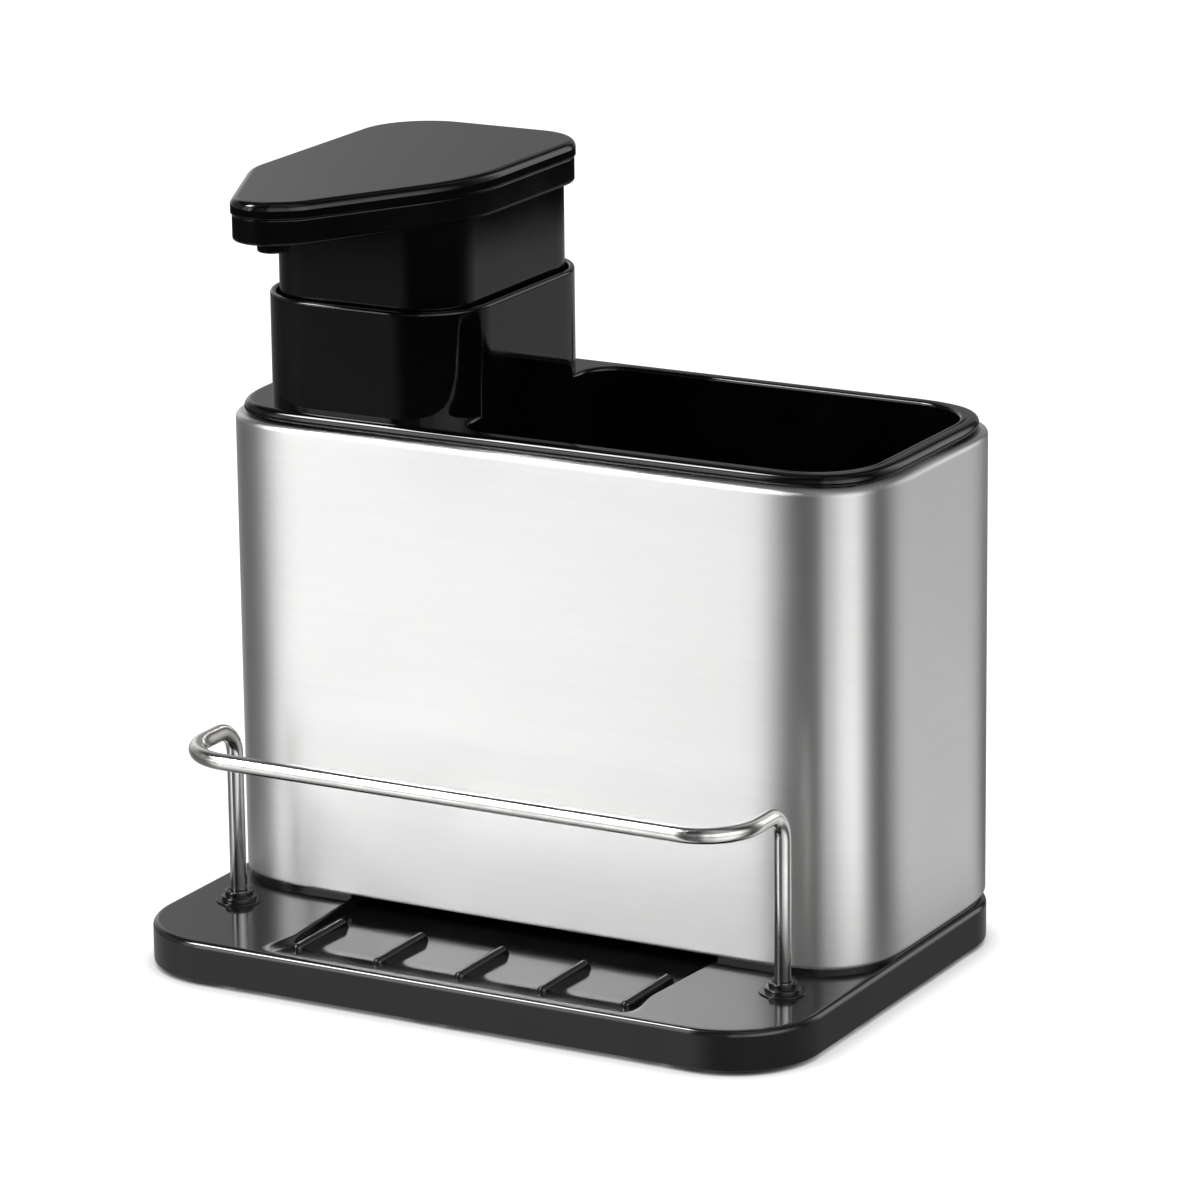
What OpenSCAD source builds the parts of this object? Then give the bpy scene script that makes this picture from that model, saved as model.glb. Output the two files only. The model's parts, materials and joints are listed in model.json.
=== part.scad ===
// Soap pump caddy for a sink: a weighted black tray carries a brushed steel sleeve.
// A moulded insert drops into the sleeve and holds a brush bin and a soap bottle.
// The bottle's press pump has a square shroud that slides inside the insert's collar.
// Millimetres. The origin is on the worktop, under the middle of the tray.
// +X is to the right, +Y is to the back, +Z is up.

/* [Base tray] */
// Distance from the tray's sides to the sleeve
side_gap = 0.3; // [0:0.05:3]
// Distance from the tray's back edge to the sleeve
back_gap = 0.35; // [0:0.05:3]
// Depth of the deck in front of the sleeve
deck_front = 43.35; // [38:0.05:60]
// Height of the tray from its lower edge to the deck
base_h = 9.8; // [8.6:0.1:14]
// How much larger the tray's corner radius is than the sleeve's
base_r_extra = 0.8; // [0:0.1:1]
// Wall thickness of the tray's skirt
base_wall = 1.8; // [1.2:0.1:3]
// Thickness of the deck
deck_t = 1.8; // [1.2:0.1:2.4]
// Radius along the tray's top edge
base_edge_r = 0.9; // [0.4:0.1:1.5]
// Thickness of the stiffening webs under the deck
web_t = 1.4; // [1:0.1:2.5]
// How far the webs stop above the tray's lower edge
web_lift = 0.8; // [0.3:0.1:2]

/* [Drip recess] */
// Distance from a post to the side of the recess, at the back
recess_side = 24.5; // [16:0.1:36]
// How much further out each side of the recess lies at the back than at the front
recess_flare = 3.2; // [0:0.1:6]
// Distance from the tray's front to the recess
recess_margin = 3; // [2.4:0.1:9]
// Depth of the recess at the foot of its front slope
recess_step = 1.8; // [0.4:0.1:2]
// Fall of the recess floor from there to the sump
recess_drop = 0.8; // [0.4:0.1:1.9]
// Number of drip ribs
rib_count = 5; // [3:1:7]
// Distance from the side of the recess to the middle of an outer rib, at the front
rib_side = 1.8; // [1.4:0.1:10]
// Width of a rib
rib_w = 2.5; // [1.6:0.1:4]
// Distance from the ribs' rear ends to the sleeve
rib_back_gap = 10.6; // [4:0.1:16]
// Distance from the recess's front edge to the rib tips
rib_margin = 6.1; // [2:0.1:8]

/* [Feet] */
// Radius of a rubber foot
foot_r = 6; // [4:0.2:9]
// Thickness of a rubber foot
foot_t = 1.8; // [1.4:0.1:3]
// How far the feet stand out below the tray
foot_proud = 1; // [0.6:0.1:1.2]
// Distance from the tray's sides and back to a foot's centre
foot_inset = 15; // [12:0.5:24]
// Wall of the boss round a foot
foot_boss_t = 1.2; // [0.8:0.1:2]

/* [Sleeve] */
// Width of the steel sleeve
sleeve_w = 175; // [160:0.5:176]
// Depth of the steel sleeve
sleeve_d = 84.1; // [74:0.2:90]
// Height of the steel sleeve
sleeve_h = 114.4; // [80:0.2:150]
// Corner radius of the sleeve in plan
sleeve_r = 21.2; // [14:0.2:30]
// Thickness of the steel sheet
sleeve_t = 0.7; // [0.4:0.05:1]
// Radius of the rolled top edge
sleeve_roll_r = 1.4; // [1:0.1:2.2]
// Radius of the bottom edge
sleeve_foot_r = 1; // [0.8:0.1:1.6]
// Width of the lip turned in at the top
lip_w = 4.4; // [3:0.1:4.5]
// Width of the flange turned in at the bottom
flange_w = 3.4; // [2.6:0.1:4]
// Height of the shoulder that lifts the sleeve off the deck
shoulder_h = 1.1; // [0.6:0.1:2]
// How far the shoulder is set in from the sleeve's outside
shoulder_inset = 1.2; // [0.8:0.1:2]
// Width of the weld seam at the back
seam_w = 1.2; // [0.6:0.1:2.5]
// Depth of the weld seam
seam_depth = 0.15; // [0.05:0.05:0.25]

/* [Sleeve seat] */
// Thickness of the wall that stands inside the sleeve
locator_t = 1.8; // [1.2:0.1:2.5]
// Height of that wall above the deck
locator_h = 8; // [6:0.5:12]
// Width of a clip that holds the flange down
clip_w = 9; // [5:0.5:14]
// How far a clip reaches over the flange
clip_reach = 1.6; // [0.8:0.1:2.2]
// Height of a clip's nose
clip_h = 2.4; // [1.5:0.1:4]

/* [Rail] */
// Diameter of the rail's wire
wire_d = 4; // [3:0.1:5]
// Distance from the tray's sides to the posts
post_inset = 14.3; // [11:0.1:22]
// Distance from the sleeve's front face to the posts
post_gap = 11.7; // [9:0.1:14]
// Distance from the tray's front edge to the front run
run_inset = 5.75; // [0:0.05:10]
// Height of the wire's centre line above the deck
rail_h = 43.7; // [25:0.1:70]
// Bend radius in the corners of the rail, on the centre line
rail_bend_r = 13; // [6:0.5:16]
// Bend radius at the top of a post, on the centre line
post_bend_r = 7; // [3:0.1:8]
// Radius of a grommet's flange
grommet_r = 5.7; // [4.5:0.1:8]
// Thickness of a grommet's flange
grommet_flange_t = 0.6; // [0.4:0.1:1.5]
// Radius of the ring that closes on the wire
grommet_ring_r = 4.2; // [3.2:0.1:5]
// Height of a grommet above the deck
grommet_h = 2.6; // [1.6:0.1:4]
// Radius of the hole in the deck for a grommet
grommet_hole_r = 3.1; // [2.8:0.1:4]
// Radius of the push nut under the deck
nut_r = 5; // [4:0.1:7]
// Thickness of the push nut
nut_t = 0.6; // [0.4:0.1:1]

/* [Insert] */
// How far the insert's rim is set in from the sleeve's outside
rim_inset = 2.1; // [1:0.1:3]
// Height of the rim above the sleeve
rim_h = 3.2; // [2:0.1:6]
// Radius along the rim's top edge
rim_edge_r = 1; // [0.5:0.1:1.5]
// Gap between the bin's wall and the sleeve's lip
bin_gap = 0.5; // [0.3:0.1:4]
// Corner radius at the bin's right end
bin_r = 16; // [8:0.5:20]
// Corner radius of the bin beside the collar
bin_left_r = 9; // [4:0.5:14]
// Wall thickness of the bin
bin_wall = 1.6; // [1:0.1:1.6]
// Thickness of the insert's floor
insert_floor_t = 2; // [1.2:0.1:3]
// Radius of a drain hole
drain_r = 2.2; // [1:0.1:3]
// Distance between drain holes
drain_pitch = 13; // [8:0.5:16]

/* [Collar] */
// Width of the collar, outside
collar_w = 57.5; // [50:0.5:66]
// Distance from the sleeve's front and back to the collar
collar_side = 5.65; // [4.65:0.05:10]
// Corner radius of the collar, outside
collar_r = 18; // [10:0.5:22]
// Height of the collar above the rim
collar_h = 26.3; // [18:0.1:40]
// Wall thickness of the collar
collar_t = 1.5; // [1:0.1:2.2]
// Distance from the sleeve's left side to the collar
collar_margin = 8.4; // [7:0.1:9.5]

/* [Bottle] */
// Clearance between the bottle and its pocket
bottle_gap = 0.7; // [0.4:0.1:2]
// Distance from the collar's top edge down to the bottle's mouth
neck_sink = 21.6; // [18:0.1:40]
// Wall thickness of the bottle
bottle_t = 1.2; // [0.8:0.1:2]
// Radius of the bottle's shoulder
shoulder_r = 8; // [4:0.5:12]
// Outside radius of the neck
neck_r = 13.4; // [12:0.1:15]
// Height of the neck above the shoulder
neck_h = 16; // [12:0.5:17]
// Thickness of the neck's wall
neck_t = 1.6; // [1.2:0.1:2]
// Number of thread turns on the neck
thread_turns = 3; // [2:1:3]
// Height of a thread above the neck
thread_h = 0.9; // [0.5:0.1:1.2]

/* [Pump] */
// Travel of the pump
stroke = 13; // [8:0.5:13.5]
// Wall thickness of the closure outside the threads
closure_wall = 2.6; // [1.8:0.1:4]
// Thickness of the closure's top
closure_t = 1.6; // [1.2:0.1:2.2]
// Gap between the closure and the bottle's shoulder
closure_gap = 3.2; // [1:0.1:6]
// Number of grip flutes round the closure
flute_count = 36; // [12:2:48]
// Radius of a grip flute
flute_r = 0.6; // [0.3:0.05:0.8]
// Thickness of the neck gasket
gasket_t = 1; // [0.6:0.1:2]
// Inside radius of the pump's cylinder
cylinder_r = 6.5; // [5.5:0.1:7]
// Wall thickness of the pump's cylinder
cylinder_t = 1.1; // [0.8:0.1:1.6]
// Room in the cylinder for the stem's tip and the pressed spring
spring_nest = 19; // [14:0.5:22]
// Outside radius of the pump's stem
stem_r = 3.5; // [3:0.1:4]
// Radius of the bore through the stem
stem_bore_r = 1.9; // [1.2:0.1:2.2]
// Length of the piston
piston_len = 8; // [6:0.5:12]
// Radius of the guide that closes the cylinder
guide_r = 9.2; // [8.5:0.1:10]
// Height of the guide above the closure
guide_h = 6.5; // [4:0.5:9]
// Depth of the guide's plug inside the cylinder
guide_plug = 6; // [4:0.5:9]
// Radius of the wire of the return spring
spring_wire_r = 0.5; // [0.3:0.05:0.6]
// Number of coils of the return spring
spring_coils = 8; // [5:1:10]
// Radius of the inlet ball
ball_r = 2.4; // [2:0.1:2.6]
// Rise of the inlet ball
ball_lift = 1.5; // [0.8:0.1:2]
// Radius of the ball's seat
seat_r = 1.7; // [1.2:0.1:1.8]
// Outside radius of the dip tube
dip_r = 3; // [2.5:0.1:3.4]
// Radius of the dip tube's bore
dip_bore_r = 2; // [1.5:0.1:2.2]
// Gap between the dip tube and the bottle's floor
dip_gap = 3; // [2:0.5:8]

/* [Shroud] */
// Gap between the shroud and the collar
shroud_gap = 1.4; // [0.6:0.1:3]
// Corner radius of the shroud
shroud_r = 13.5; // [8:0.5:18]
// Wall thickness of the shroud
shroud_t = 1.6; // [1.2:0.1:2.4]
// Gap left between the head and the collar when the pump is pressed
press_margin = 7.9; // [4:0.1:13]
// Length of the shroud hidden in the collar
shroud_dip = 9; // [5:0.5:12]
// Thickness of the shroud's top plate
shroud_top_t = 1.6; // [1.2:0.1:3]

/* [Head] */
// How far the head stands out past the shroud on the right
right_overhang = 3; // [0.4:0.1:6]
// How far the head stands out past the shroud on the left
left_overhang = 0.75; // [0.1:0.05:6]
// How far the head stands out past the shroud at the back
back_overhang = 0.8; // [0.3:0.1:6]
// Distance from the shroud's front forward to the shoulder on the nozzle's left
left_shoulder = 1.5; // [-4:0.1:6]
// Distance from the shroud's front back to the shoulder on the nozzle's right
right_shoulder = 8.4; // [0:0.1:14]
// Forward reach of the tip's left corner from the pump's axis
tip_reach = 74.3; // [62:0.1:90]
// Distance from the axis to the left of the tip's left corner
tip_left_side = 8.95; // [5:0.05:14]
// How far the tip's right corner lies behind its left one
tip_slant = 9; // [2:0.1:11]
// Distance from the axis to the right of the tip's right corner
tip_right_side = 5.55; // [2:0.05:12]
// Height of the head's skirt
skirt_h = 6.3; // [5:0.1:9]
// Wall thickness of the skirt
skirt_t = 1.6; // [1.2:0.1:2.2]
// Height of the cover above the skirt
cover_h = 3.9; // [3:0.1:6]
// Wall thickness of the cover
cover_t = 1.5; // [1:0.1:2]
// How far the cover stands out past the skirt
cover_proud = 0.35; // [0.1:0.05:0.8]
// Radius along the cover's top edge
cover_edge_r = 1.3; // [0.6:0.1:1.4]
// Distance from the tip's left corner back to the nozzle
nozzle_back = 12; // [10:0.1:30]
// Distance from the axis to the left of the nozzle
nozzle_side = 3.4; // [0:0.1:6]
// Outside radius of the nozzle tip
nozzle_r = 3.7; // [3:0.1:4.5]
// How far the nozzle tip hangs below the skirt
nozzle_drop = 2.5; // [1:0.1:5]
// Outside radius of the spout channel
spout_r = 2.9; // [2.4:0.1:3]
// Radius of the spout channel's bore
spout_bore_r = 1.8; // [1.2:0.1:2]
// Outside radius of the socket that takes the stem
socket_r = 6; // [5:0.1:7]
// Depth of the socket below the head
socket_len = 12; // [8:0.5:14]

/* [Hidden] */
$fn = 72;

// Clearances
seat_gap = 0.2;      // between a loose piece and what it rests on
fit_gap = 0.1;       // round a pin, plug or tube that is pushed home
slide_gap = 0.1;     // round a piston, stem or ball that travels
cut = 2;             // overrun of every cut past the face it opens

// Sizes in plan that follow the sleeve
base_w = sleeve_w + 2*side_gap;
base_d = sleeve_d + back_gap + deck_front;
base_r = sleeve_r + base_r_extra;
collar_d = sleeve_d - 2*collar_side;

// Levels
deck_z = foot_proud + base_h;
sleeve_z = deck_z + shoulder_h;
sleeve_top = sleeve_z + sleeve_h;
rim_top = sleeve_top + rim_h;
collar_top = rim_top + collar_h;
locator_top = deck_z + locator_h;
insert_z = locator_top + seat_gap;
floor_z = insert_z + insert_floor_t;
bottle_z = floor_z + seat_gap;
neck_top = collar_top - neck_sink;
bottle_top = neck_top - neck_h;
bottle_h = bottle_top - bottle_z;
skirt_z = collar_top + stroke + press_margin;
seam_z = skirt_z + skirt_h;
shroud_z = collar_top - shroud_dip;

// Places in plan
body_y = base_d/2 - back_gap - sleeve_d/2;
sleeve_front = body_y - sleeve_d/2;
axis_x = collar_margin + collar_w/2 - sleeve_w/2;
axis_y = body_y;
post_x = base_w/2 - post_inset;
post_y = sleeve_front - post_gap;
run_y = run_inset - base_d/2;
wire_r = wire_d/2;
rail_z = deck_z + rail_h;

// The feet: the front ones stand midway between the tray's front and the push nuts
foot_x = base_w/2 - foot_inset;
back_foot_y = base_d/2 - foot_inset;
front_foot_y = (post_y - nut_r - base_d/2)/2;

// The drip recess and the sump under the insert
recess_back_w = 2*(post_x - recess_side);
recess_front_w = recess_back_w - 2*recess_flare;
rib_pitch = (recess_front_w - 2*rib_side)/(rib_count - 1);
recess_front = recess_margin - base_d/2;
sump_inset = flange_w + seat_gap + locator_t;
recess_back = sleeve_front + sump_inset + locator_t;
sump_z = deck_z - recess_step - recess_drop;
locator_inset = flange_w + seat_gap;
web_x = post_x - 3*nut_r;
front_clip_x = (recess_back_w/2 + sleeve_w/2 - sleeve_r)/2;

// The bin, whose left wall is the collar's right wall
bin_inset = lip_w + bin_gap + bin_wall;
bin_left = axis_x + collar_w/2;
bin_right = sleeve_w/2 - bin_inset;
bin_w = bin_right - bin_left;
bin_d = sleeve_d - 2*bin_inset;
bin_x = (bin_left + bin_right)/2;
drain_cols = floor((bin_w - 2*bin_r)/drain_pitch);
drain_rows = floor((bin_d - 2*bin_left_r)/drain_pitch);

// The bottle and the pump
pocket_w = collar_w - 2*collar_t;
pocket_d = collar_d - 2*collar_t;
pocket_r = collar_r - collar_t;
bottle_w = pocket_w - 2*bottle_gap;
bottle_d = pocket_d - 2*bottle_gap;
bottle_r = pocket_r - bottle_gap;
neck_bore_r = neck_r - neck_t;
thread_r = neck_r + thread_h;
thread_pitch = (neck_h - closure_gap)/(thread_turns + 1);
closure_r = thread_r + fit_gap + closure_wall;
gasket_z = neck_top;
cylinder_flange_t = gasket_t + cylinder_t;
cylinder_flange_r = neck_r;
cylinder_top = gasket_z + gasket_t + cylinder_flange_t;
cylinder_len = guide_plug + piston_len + stroke + spring_nest;
cylinder_z = cylinder_top - cylinder_len;
closure_top = cylinder_top + fit_gap + closure_t;
cage_h = 2*ball_r + ball_lift;
cage_r = ball_r + 3*slide_gap;
seat_z = cylinder_z - cage_h;
spigot_len = 3*dip_r;
spigot_z = seat_z - cylinder_t - spigot_len;
spigot_r = dip_r + fit_gap + cylinder_t;
ball_z = seat_z + sqrt(pow(ball_r, 2) - pow(seat_r, 2)) + slide_gap;
dip_top = seat_z - cylinder_t - fit_gap;
dip_z = bottle_z + bottle_t + dip_gap;

// The moving stem, piston and spring
guide_z = cylinder_top - guide_plug;
piston_top = guide_z - slide_gap;
piston_z = piston_top - piston_len;
piston_neck_r = (stem_r + stem_bore_r)/2;
stem_tip_t = cylinder_t;
stem_z = piston_z - stem_tip_t;
spring_z = cylinder_z + slide_gap;
spring_top = stem_z - slide_gap;
spring_r = cylinder_r - spring_wire_r - 4*slide_gap;

// The shroud, which slides in the collar
shroud_w = pocket_w - 2*shroud_gap;
shroud_d = pocket_d - 2*shroud_gap;

// The head
head_right = shroud_w/2 + right_overhang;
head_left = shroud_w/2 + left_overhang;
head_back = shroud_d/2 + back_overhang;
head_left_front = shroud_d/2 + left_shoulder;
head_right_front = shroud_d/2 - right_shoulder;
tip_right_reach = tip_reach - tip_slant;
nozzle_reach = tip_reach - nozzle_back;
skirt_plate_top = skirt_z + skirt_t;
spout_z = skirt_plate_top + fit_gap + spout_r;
stem_top = spout_z;
socket_z = skirt_z - socket_len;
shroud_hole_r = socket_r + seat_gap;
nozzle_z = skirt_z - nozzle_drop;
nozzle_len = nozzle_drop + skirt_t + spout_r;
nozzle_x = axis_x - nozzle_side;
nozzle_y = axis_y - nozzle_reach;
spout_run = norm([nozzle_side, nozzle_reach]);
spout_angle = atan2(nozzle_side, nozzle_reach);
screw_r = 1.4;
screw_head_r = 2.7;
screw_head_t = 1.4;
screw_len = 8;
screw_boss_r = screw_r + shroud_t;
screw_side = socket_r + 2*screw_boss_r;

// Corners of the head in plan, anticlockwise from the back right, seen from the pump's axis:
// place in x, place in y, radius
head_back_right_r = 13.6;
head_back_left_r = 18;
head_left_front_r = 19;
tip_left_r = 9.4;
tip_right_r = 12;
head_right_front_r = 50;
head_corners = [
    [head_right, head_back, head_back_right_r],
    [-head_left, head_back, head_back_left_r],
    [-head_left, -head_left_front, head_left_front_r],
    [-tip_left_side, -tip_reach, tip_left_r],
    [tip_right_side, -tip_right_reach, tip_right_r],
    [head_right, -head_right_front, head_right_front_r]];
corner_steps = 10;

// Colours
black = [0.09, 0.09, 0.1];
soft_black = [0.16, 0.16, 0.17];
steel = [0.78, 0.77, 0.75];
bright_steel = [0.86, 0.86, 0.86];
clear_plastic = [0.86, 0.88, 0.88];
white_plastic = [0.93, 0.93, 0.92];

// A rounded rectangle about the origin
module rrect(w, d, r) {
    square([w - 2*r, d], center = true);
    square([w, d - 2*r], center = true);
    for (sx = [-1, 1], sy = [-1, 1])
        translate([sx*(w/2 - r), sy*(d/2 - r)]) circle(r);
}

// A quarter disc in the first quadrant
module quarter(r) {
    intersection() {
        circle(r);
        square(r);
    }
}

// A band that rounds the edge of a rounded rectangle: full size at z = 0, e smaller at z = e.
// Its core reaches down into the slab that it finishes.
module edge_band(w, d, r, e) {
    translate([0, 0, -e]) linear_extrude(2*e) rrect(w - 2*e, d - 2*e, r - e);
    for (sx = [0, 1], sy = [0, 1])
        mirror([sx, 0, 0]) mirror([0, sy, 0])
            translate([w/2 - r, d/2 - r, 0])
                rotate_extrude(angle = 90) translate([r - e, 0]) quarter(e);
    for (s = [0, 1]) {
        mirror([s, 0, 0]) translate([w/2 - e, d/2 - r, 0])
            rotate([90, 0, 0]) linear_extrude(d - 2*r) quarter(e);
        mirror([0, s, 0]) translate([r - w/2, d/2 - e, 0])
            rotate([90, 0, 90]) linear_extrude(w - 2*r) quarter(e);
    }
}

// A rounded rectangular slab on z = 0 with its top and bottom edges rounded
module slab(w, d, h, r, top_r = 0, foot_r = 0) {
    translate([0, 0, foot_r]) linear_extrude(h - top_r - foot_r) rrect(w, d, r);
    if (top_r > 0) translate([0, 0, h - top_r]) edge_band(w, d, r, top_r);
    if (foot_r > 0) translate([0, 0, foot_r]) mirror([0, 0, 1]) edge_band(w, d, r, foot_r);
}

// A slab in the sleeve's outline, set in by a distance
module inset_slab(inset, h, top_r = 0, foot_r = 0) {
    slab(sleeve_w - 2*inset, sleeve_d - 2*inset, h, sleeve_r - inset, top_r, foot_r);
}

// Points of an outline with round corners, moved out by grow
function unit(v) = v/norm(v);
function corner_arc(p, c, q, grow) =
    let (here = [c[0], c[1]],
         a = unit([p[0], p[1]] - here), b = unit([q[0], q[1]] - here),
         half = acos(a*b)/2,
         centre = here + unit(a + b)*(c[2]/sin(half)),
         start = here + a*(c[2]/tan(half)) - centre,
         end = here + b*(c[2]/tan(half)) - centre,
         from = atan2(start[1], start[0]),
         turn = atan2(end[1], end[0]) - from,
         sweep = turn < -180 ? turn + 360 : turn > 180 ? turn - 360 : turn)
    [for (k = [0:corner_steps])
        centre + (c[2] + grow)*[cos(from + sweep*k/corner_steps), sin(from + sweep*k/corner_steps)]];
function outline(corners, grow = 0) =
    let (n = len(corners))
    [for (i = [0:n - 1])
        each corner_arc(corners[(i + n - 1) % n], corners[i], corners[(i + 1) % n], grow)];

// A plate in the head's outline, moved out by grow
module head_plate(grow, h) {
    linear_extrude(h) polygon(outline(head_corners, grow));
}

// A closed skin through level rings of equal point counts, each [height, points]
module ring_skin(rings) {
    n = len(rings[0][1]);
    points = [for (ring = rings) for (p = ring[1]) [p[0], p[1], ring[0]]];
    sides = [for (k = [0:len(rings) - 2]) for (i = [0:n - 1])
        let (a = k*n + i, b = k*n + (i + 1) % n)
        each [[a, b + n, b], [a, a + n, b + n]]];
    foot = [for (i = [0:n - 1]) i];
    head = [for (i = [n - 1:-1:0]) (len(rings) - 1)*n + i];
    polyhedron(points, concat(sides, [foot, head]));
}

// A round tube from z = 0 up
module tube(outer_r, inner_r, h) {
    difference() {
        cylinder(r = outer_r, h = h);
        translate([0, 0, -cut]) cylinder(r = inner_r, h = h + 2*cut);
    }
}

// The recess in plan, grown at its sides, and from the side, lowered by drop
module recess_solid(grow, drop, top) {
    intersection() {
        linear_extrude(top) polygon([
            [-recess_front_w/2 - grow, recess_front - grow],
            [recess_front_w/2 + grow, recess_front - grow],
            [recess_back_w/2 + grow, recess_back],
            [-recess_back_w/2 - grow, recess_back]]);
        // the front slope ends at the rib tips
        rotate([90, 0, 90]) linear_extrude(base_w, center = true) polygon([
            [recess_front - grow, deck_z - drop],
            [recess_front + rib_margin, deck_z - recess_step - drop],
            [recess_back, sump_z - drop],
            [recess_back, top],
            [recess_front - grow, top]]);
    }
}

module drip_rib() {
    tip_y = recess_front + rib_margin + rib_w/2;
    end_y = sleeve_front - rib_back_gap;
    axle_z = deck_z - rib_w/2;
    translate([0, tip_y, axle_z]) sphere(rib_w/2);
    translate([0, tip_y, axle_z]) rotate([-90, 0, 0]) cylinder(r = rib_w/2, h = end_y - tip_y);
    translate([-rib_w/2, tip_y, sump_z - deck_t/2])
        cube([rib_w, end_y - tip_y, axle_z - sump_z + deck_t/2]);
    translate([0, tip_y, sump_z - deck_t/2]) cylinder(r = rib_w/2, h = axle_z - sump_z + deck_t/2);
}

module foot_places() {
    for (s = [-1, 1], y = [front_foot_y, back_foot_y]) translate([s*foot_x, y, 0]) children();
}

module flange_clip() {
    // a wedge on the locator wall, its flat side just above the flange
    nose_z = sleeve_z + sleeve_t + seat_gap;
    translate([0, 0, nose_z]) rotate([90, 0, 90]) linear_extrude(clip_w, center = true)
        polygon([[locator_t/2, 0], [-clip_reach, 0], [0, clip_h], [locator_t/2, clip_h]]);
}

module under_webs(top) {
    lift = foot_proud + web_lift;
    translate([0, 0, lift]) linear_extrude(top - lift) intersection() {
        rrect(base_w - base_wall, base_d - base_wall, base_r - base_wall/2);
        union() {
            for (x = [-web_x, 0, web_x]) translate([x, 0]) square([web_t, base_d], center = true);
            for (y = [sleeve_front, body_y]) translate([0, y]) square([base_w, web_t], center = true);
        }
    }
}

module base_tray() {
    inner_top = deck_z - deck_t - foot_proud;
    tub_top = deck_z - deck_t/2;
    color(black) difference() {
        union() {
            // skirt and deck, open underneath
            difference() {
                translate([0, 0, foot_proud]) slab(base_w, base_d, base_h, base_r, base_edge_r);
                translate([0, 0, foot_proud - cut])
                    slab(base_w - 2*base_wall, base_d - 2*base_wall, inner_top + cut, base_r - base_wall);
            }
            // floors under the recess and the sump
            recess_solid(deck_t, deck_t, tub_top);
            translate([0, body_y, sump_z - deck_t])
                inset_slab(sump_inset - deck_t, tub_top - sump_z + deck_t);
            // shoulder, wall and clips that hold the sleeve
            translate([0, body_y, tub_top]) inset_slab(shoulder_inset, sleeve_z - tub_top);
            translate([0, body_y, tub_top]) inset_slab(locator_inset, locator_top - tub_top);
            for (s = [-1, 1]) {
                translate([s*sleeve_w/4, body_y + sleeve_d/2 - locator_inset, 0])
                    rotate([0, 0, 180]) flange_clip();
                translate([s*(sleeve_w/2 - locator_inset), body_y, 0])
                    rotate([0, 0, s*90]) flange_clip();
                translate([s*front_clip_x, sleeve_front + locator_inset, 0]) flange_clip();
            }
            foot_places() translate([0, 0, foot_proud])
                cylinder(r = foot_r + fit_gap + foot_boss_t, h = tub_top - foot_proud);
            under_webs(tub_top);
        }
        // the recess runs back under the sleeve into the sump
        recess_solid(0, 0, locator_top + cut);
        translate([0, body_y, sump_z]) inset_slab(sump_inset, locator_top - sump_z + cut);
        // seats for the feet and holes for the grommets
        foot_places() cylinder(r = foot_r + fit_gap, h = foot_t + fit_gap);
        for (s = [-1, 1])
            translate([s*post_x, post_y, deck_z - deck_t - cut])
                cylinder(r = grommet_hole_r, h = deck_t + 2*cut);
    }
    color(black) for (k = [0:rib_count - 1])
        translate([(k - (rib_count - 1)/2)*rib_pitch, 0, 0]) drip_rib();
}

module rubber_feet() {
    color(soft_black) foot_places() cylinder(r = foot_r, h = foot_t);
}

module steel_sleeve() {
    color(steel) translate([0, body_y, sleeve_z]) difference() {
        inset_slab(0, sleeve_h, sleeve_roll_r, sleeve_foot_r);
        translate([0, 0, sleeve_t])
            inset_slab(sleeve_t, sleeve_h - 2*sleeve_t, sleeve_roll_r - sleeve_t, sleeve_foot_r - sleeve_t);
        translate([0, 0, sleeve_h/2]) inset_slab(lip_w, sleeve_h);
        translate([0, 0, -sleeve_h/2]) inset_slab(flange_w, sleeve_h);
        translate([-seam_w/2, sleeve_d/2 - seam_depth, sleeve_foot_r])
            cube([seam_w, seam_depth + cut, sleeve_h - sleeve_roll_r - sleeve_foot_r]);
    }
}

module rail_grommets() {
    lower_t = grommet_flange_t;
    color(soft_black) for (s = [-1, 1]) translate([s*post_x, post_y, 0]) difference() {
        union() {
            translate([0, 0, deck_z]) cylinder(r = grommet_r, h = grommet_flange_t/2);
            translate([0, 0, deck_z + grommet_flange_t/2])
                cylinder(r1 = grommet_r, r2 = grommet_ring_r, h = grommet_flange_t/2);
            translate([0, 0, deck_z]) cylinder(r = grommet_ring_r, h = grommet_h);
            translate([0, 0, deck_z - deck_t - lower_t])
                cylinder(r = grommet_hole_r - fit_gap, h = deck_t + 2*lower_t);
            translate([0, 0, deck_z - deck_t - lower_t]) cylinder(r = grommet_ring_r + fit_gap, h = lower_t);
        }
        translate([0, 0, deck_z - deck_t - lower_t - cut])
            cylinder(r = wire_r + fit_gap/2, h = deck_t + lower_t + grommet_h + 2*cut);
    }
}

module sponge_rail() {
    post_end = foot_proud + 2*web_lift;
    arm_z = rail_z - post_bend_r;
    arm_front = run_y + rail_bend_r;
    arm_back = post_y - post_bend_r;
    color(bright_steel) union() {
        for (s = [0, 1]) mirror([s, 0, 0]) {
            translate([post_x, post_y, post_end]) cylinder(r = wire_r, h = arm_z - post_end);
            // tight bend at the top of the post
            translate([post_x, arm_back, arm_z]) rotate([90, 0, 90])
                rotate_extrude(angle = 90) translate([post_bend_r, 0]) circle(wire_r);
            translate([post_x, arm_back, rail_z]) rotate([90, 0, 0])
                cylinder(r = wire_r, h = arm_back - arm_front);
            // wide bend into the front run
            translate([post_x - rail_bend_r, arm_front, rail_z])
                rotate_extrude(angle = -90) translate([rail_bend_r, 0]) circle(wire_r);
        }
        translate([rail_bend_r - post_x, run_y, rail_z]) rotate([0, 90, 0])
            cylinder(r = wire_r, h = 2*post_x - 2*rail_bend_r);
    }
}

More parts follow.
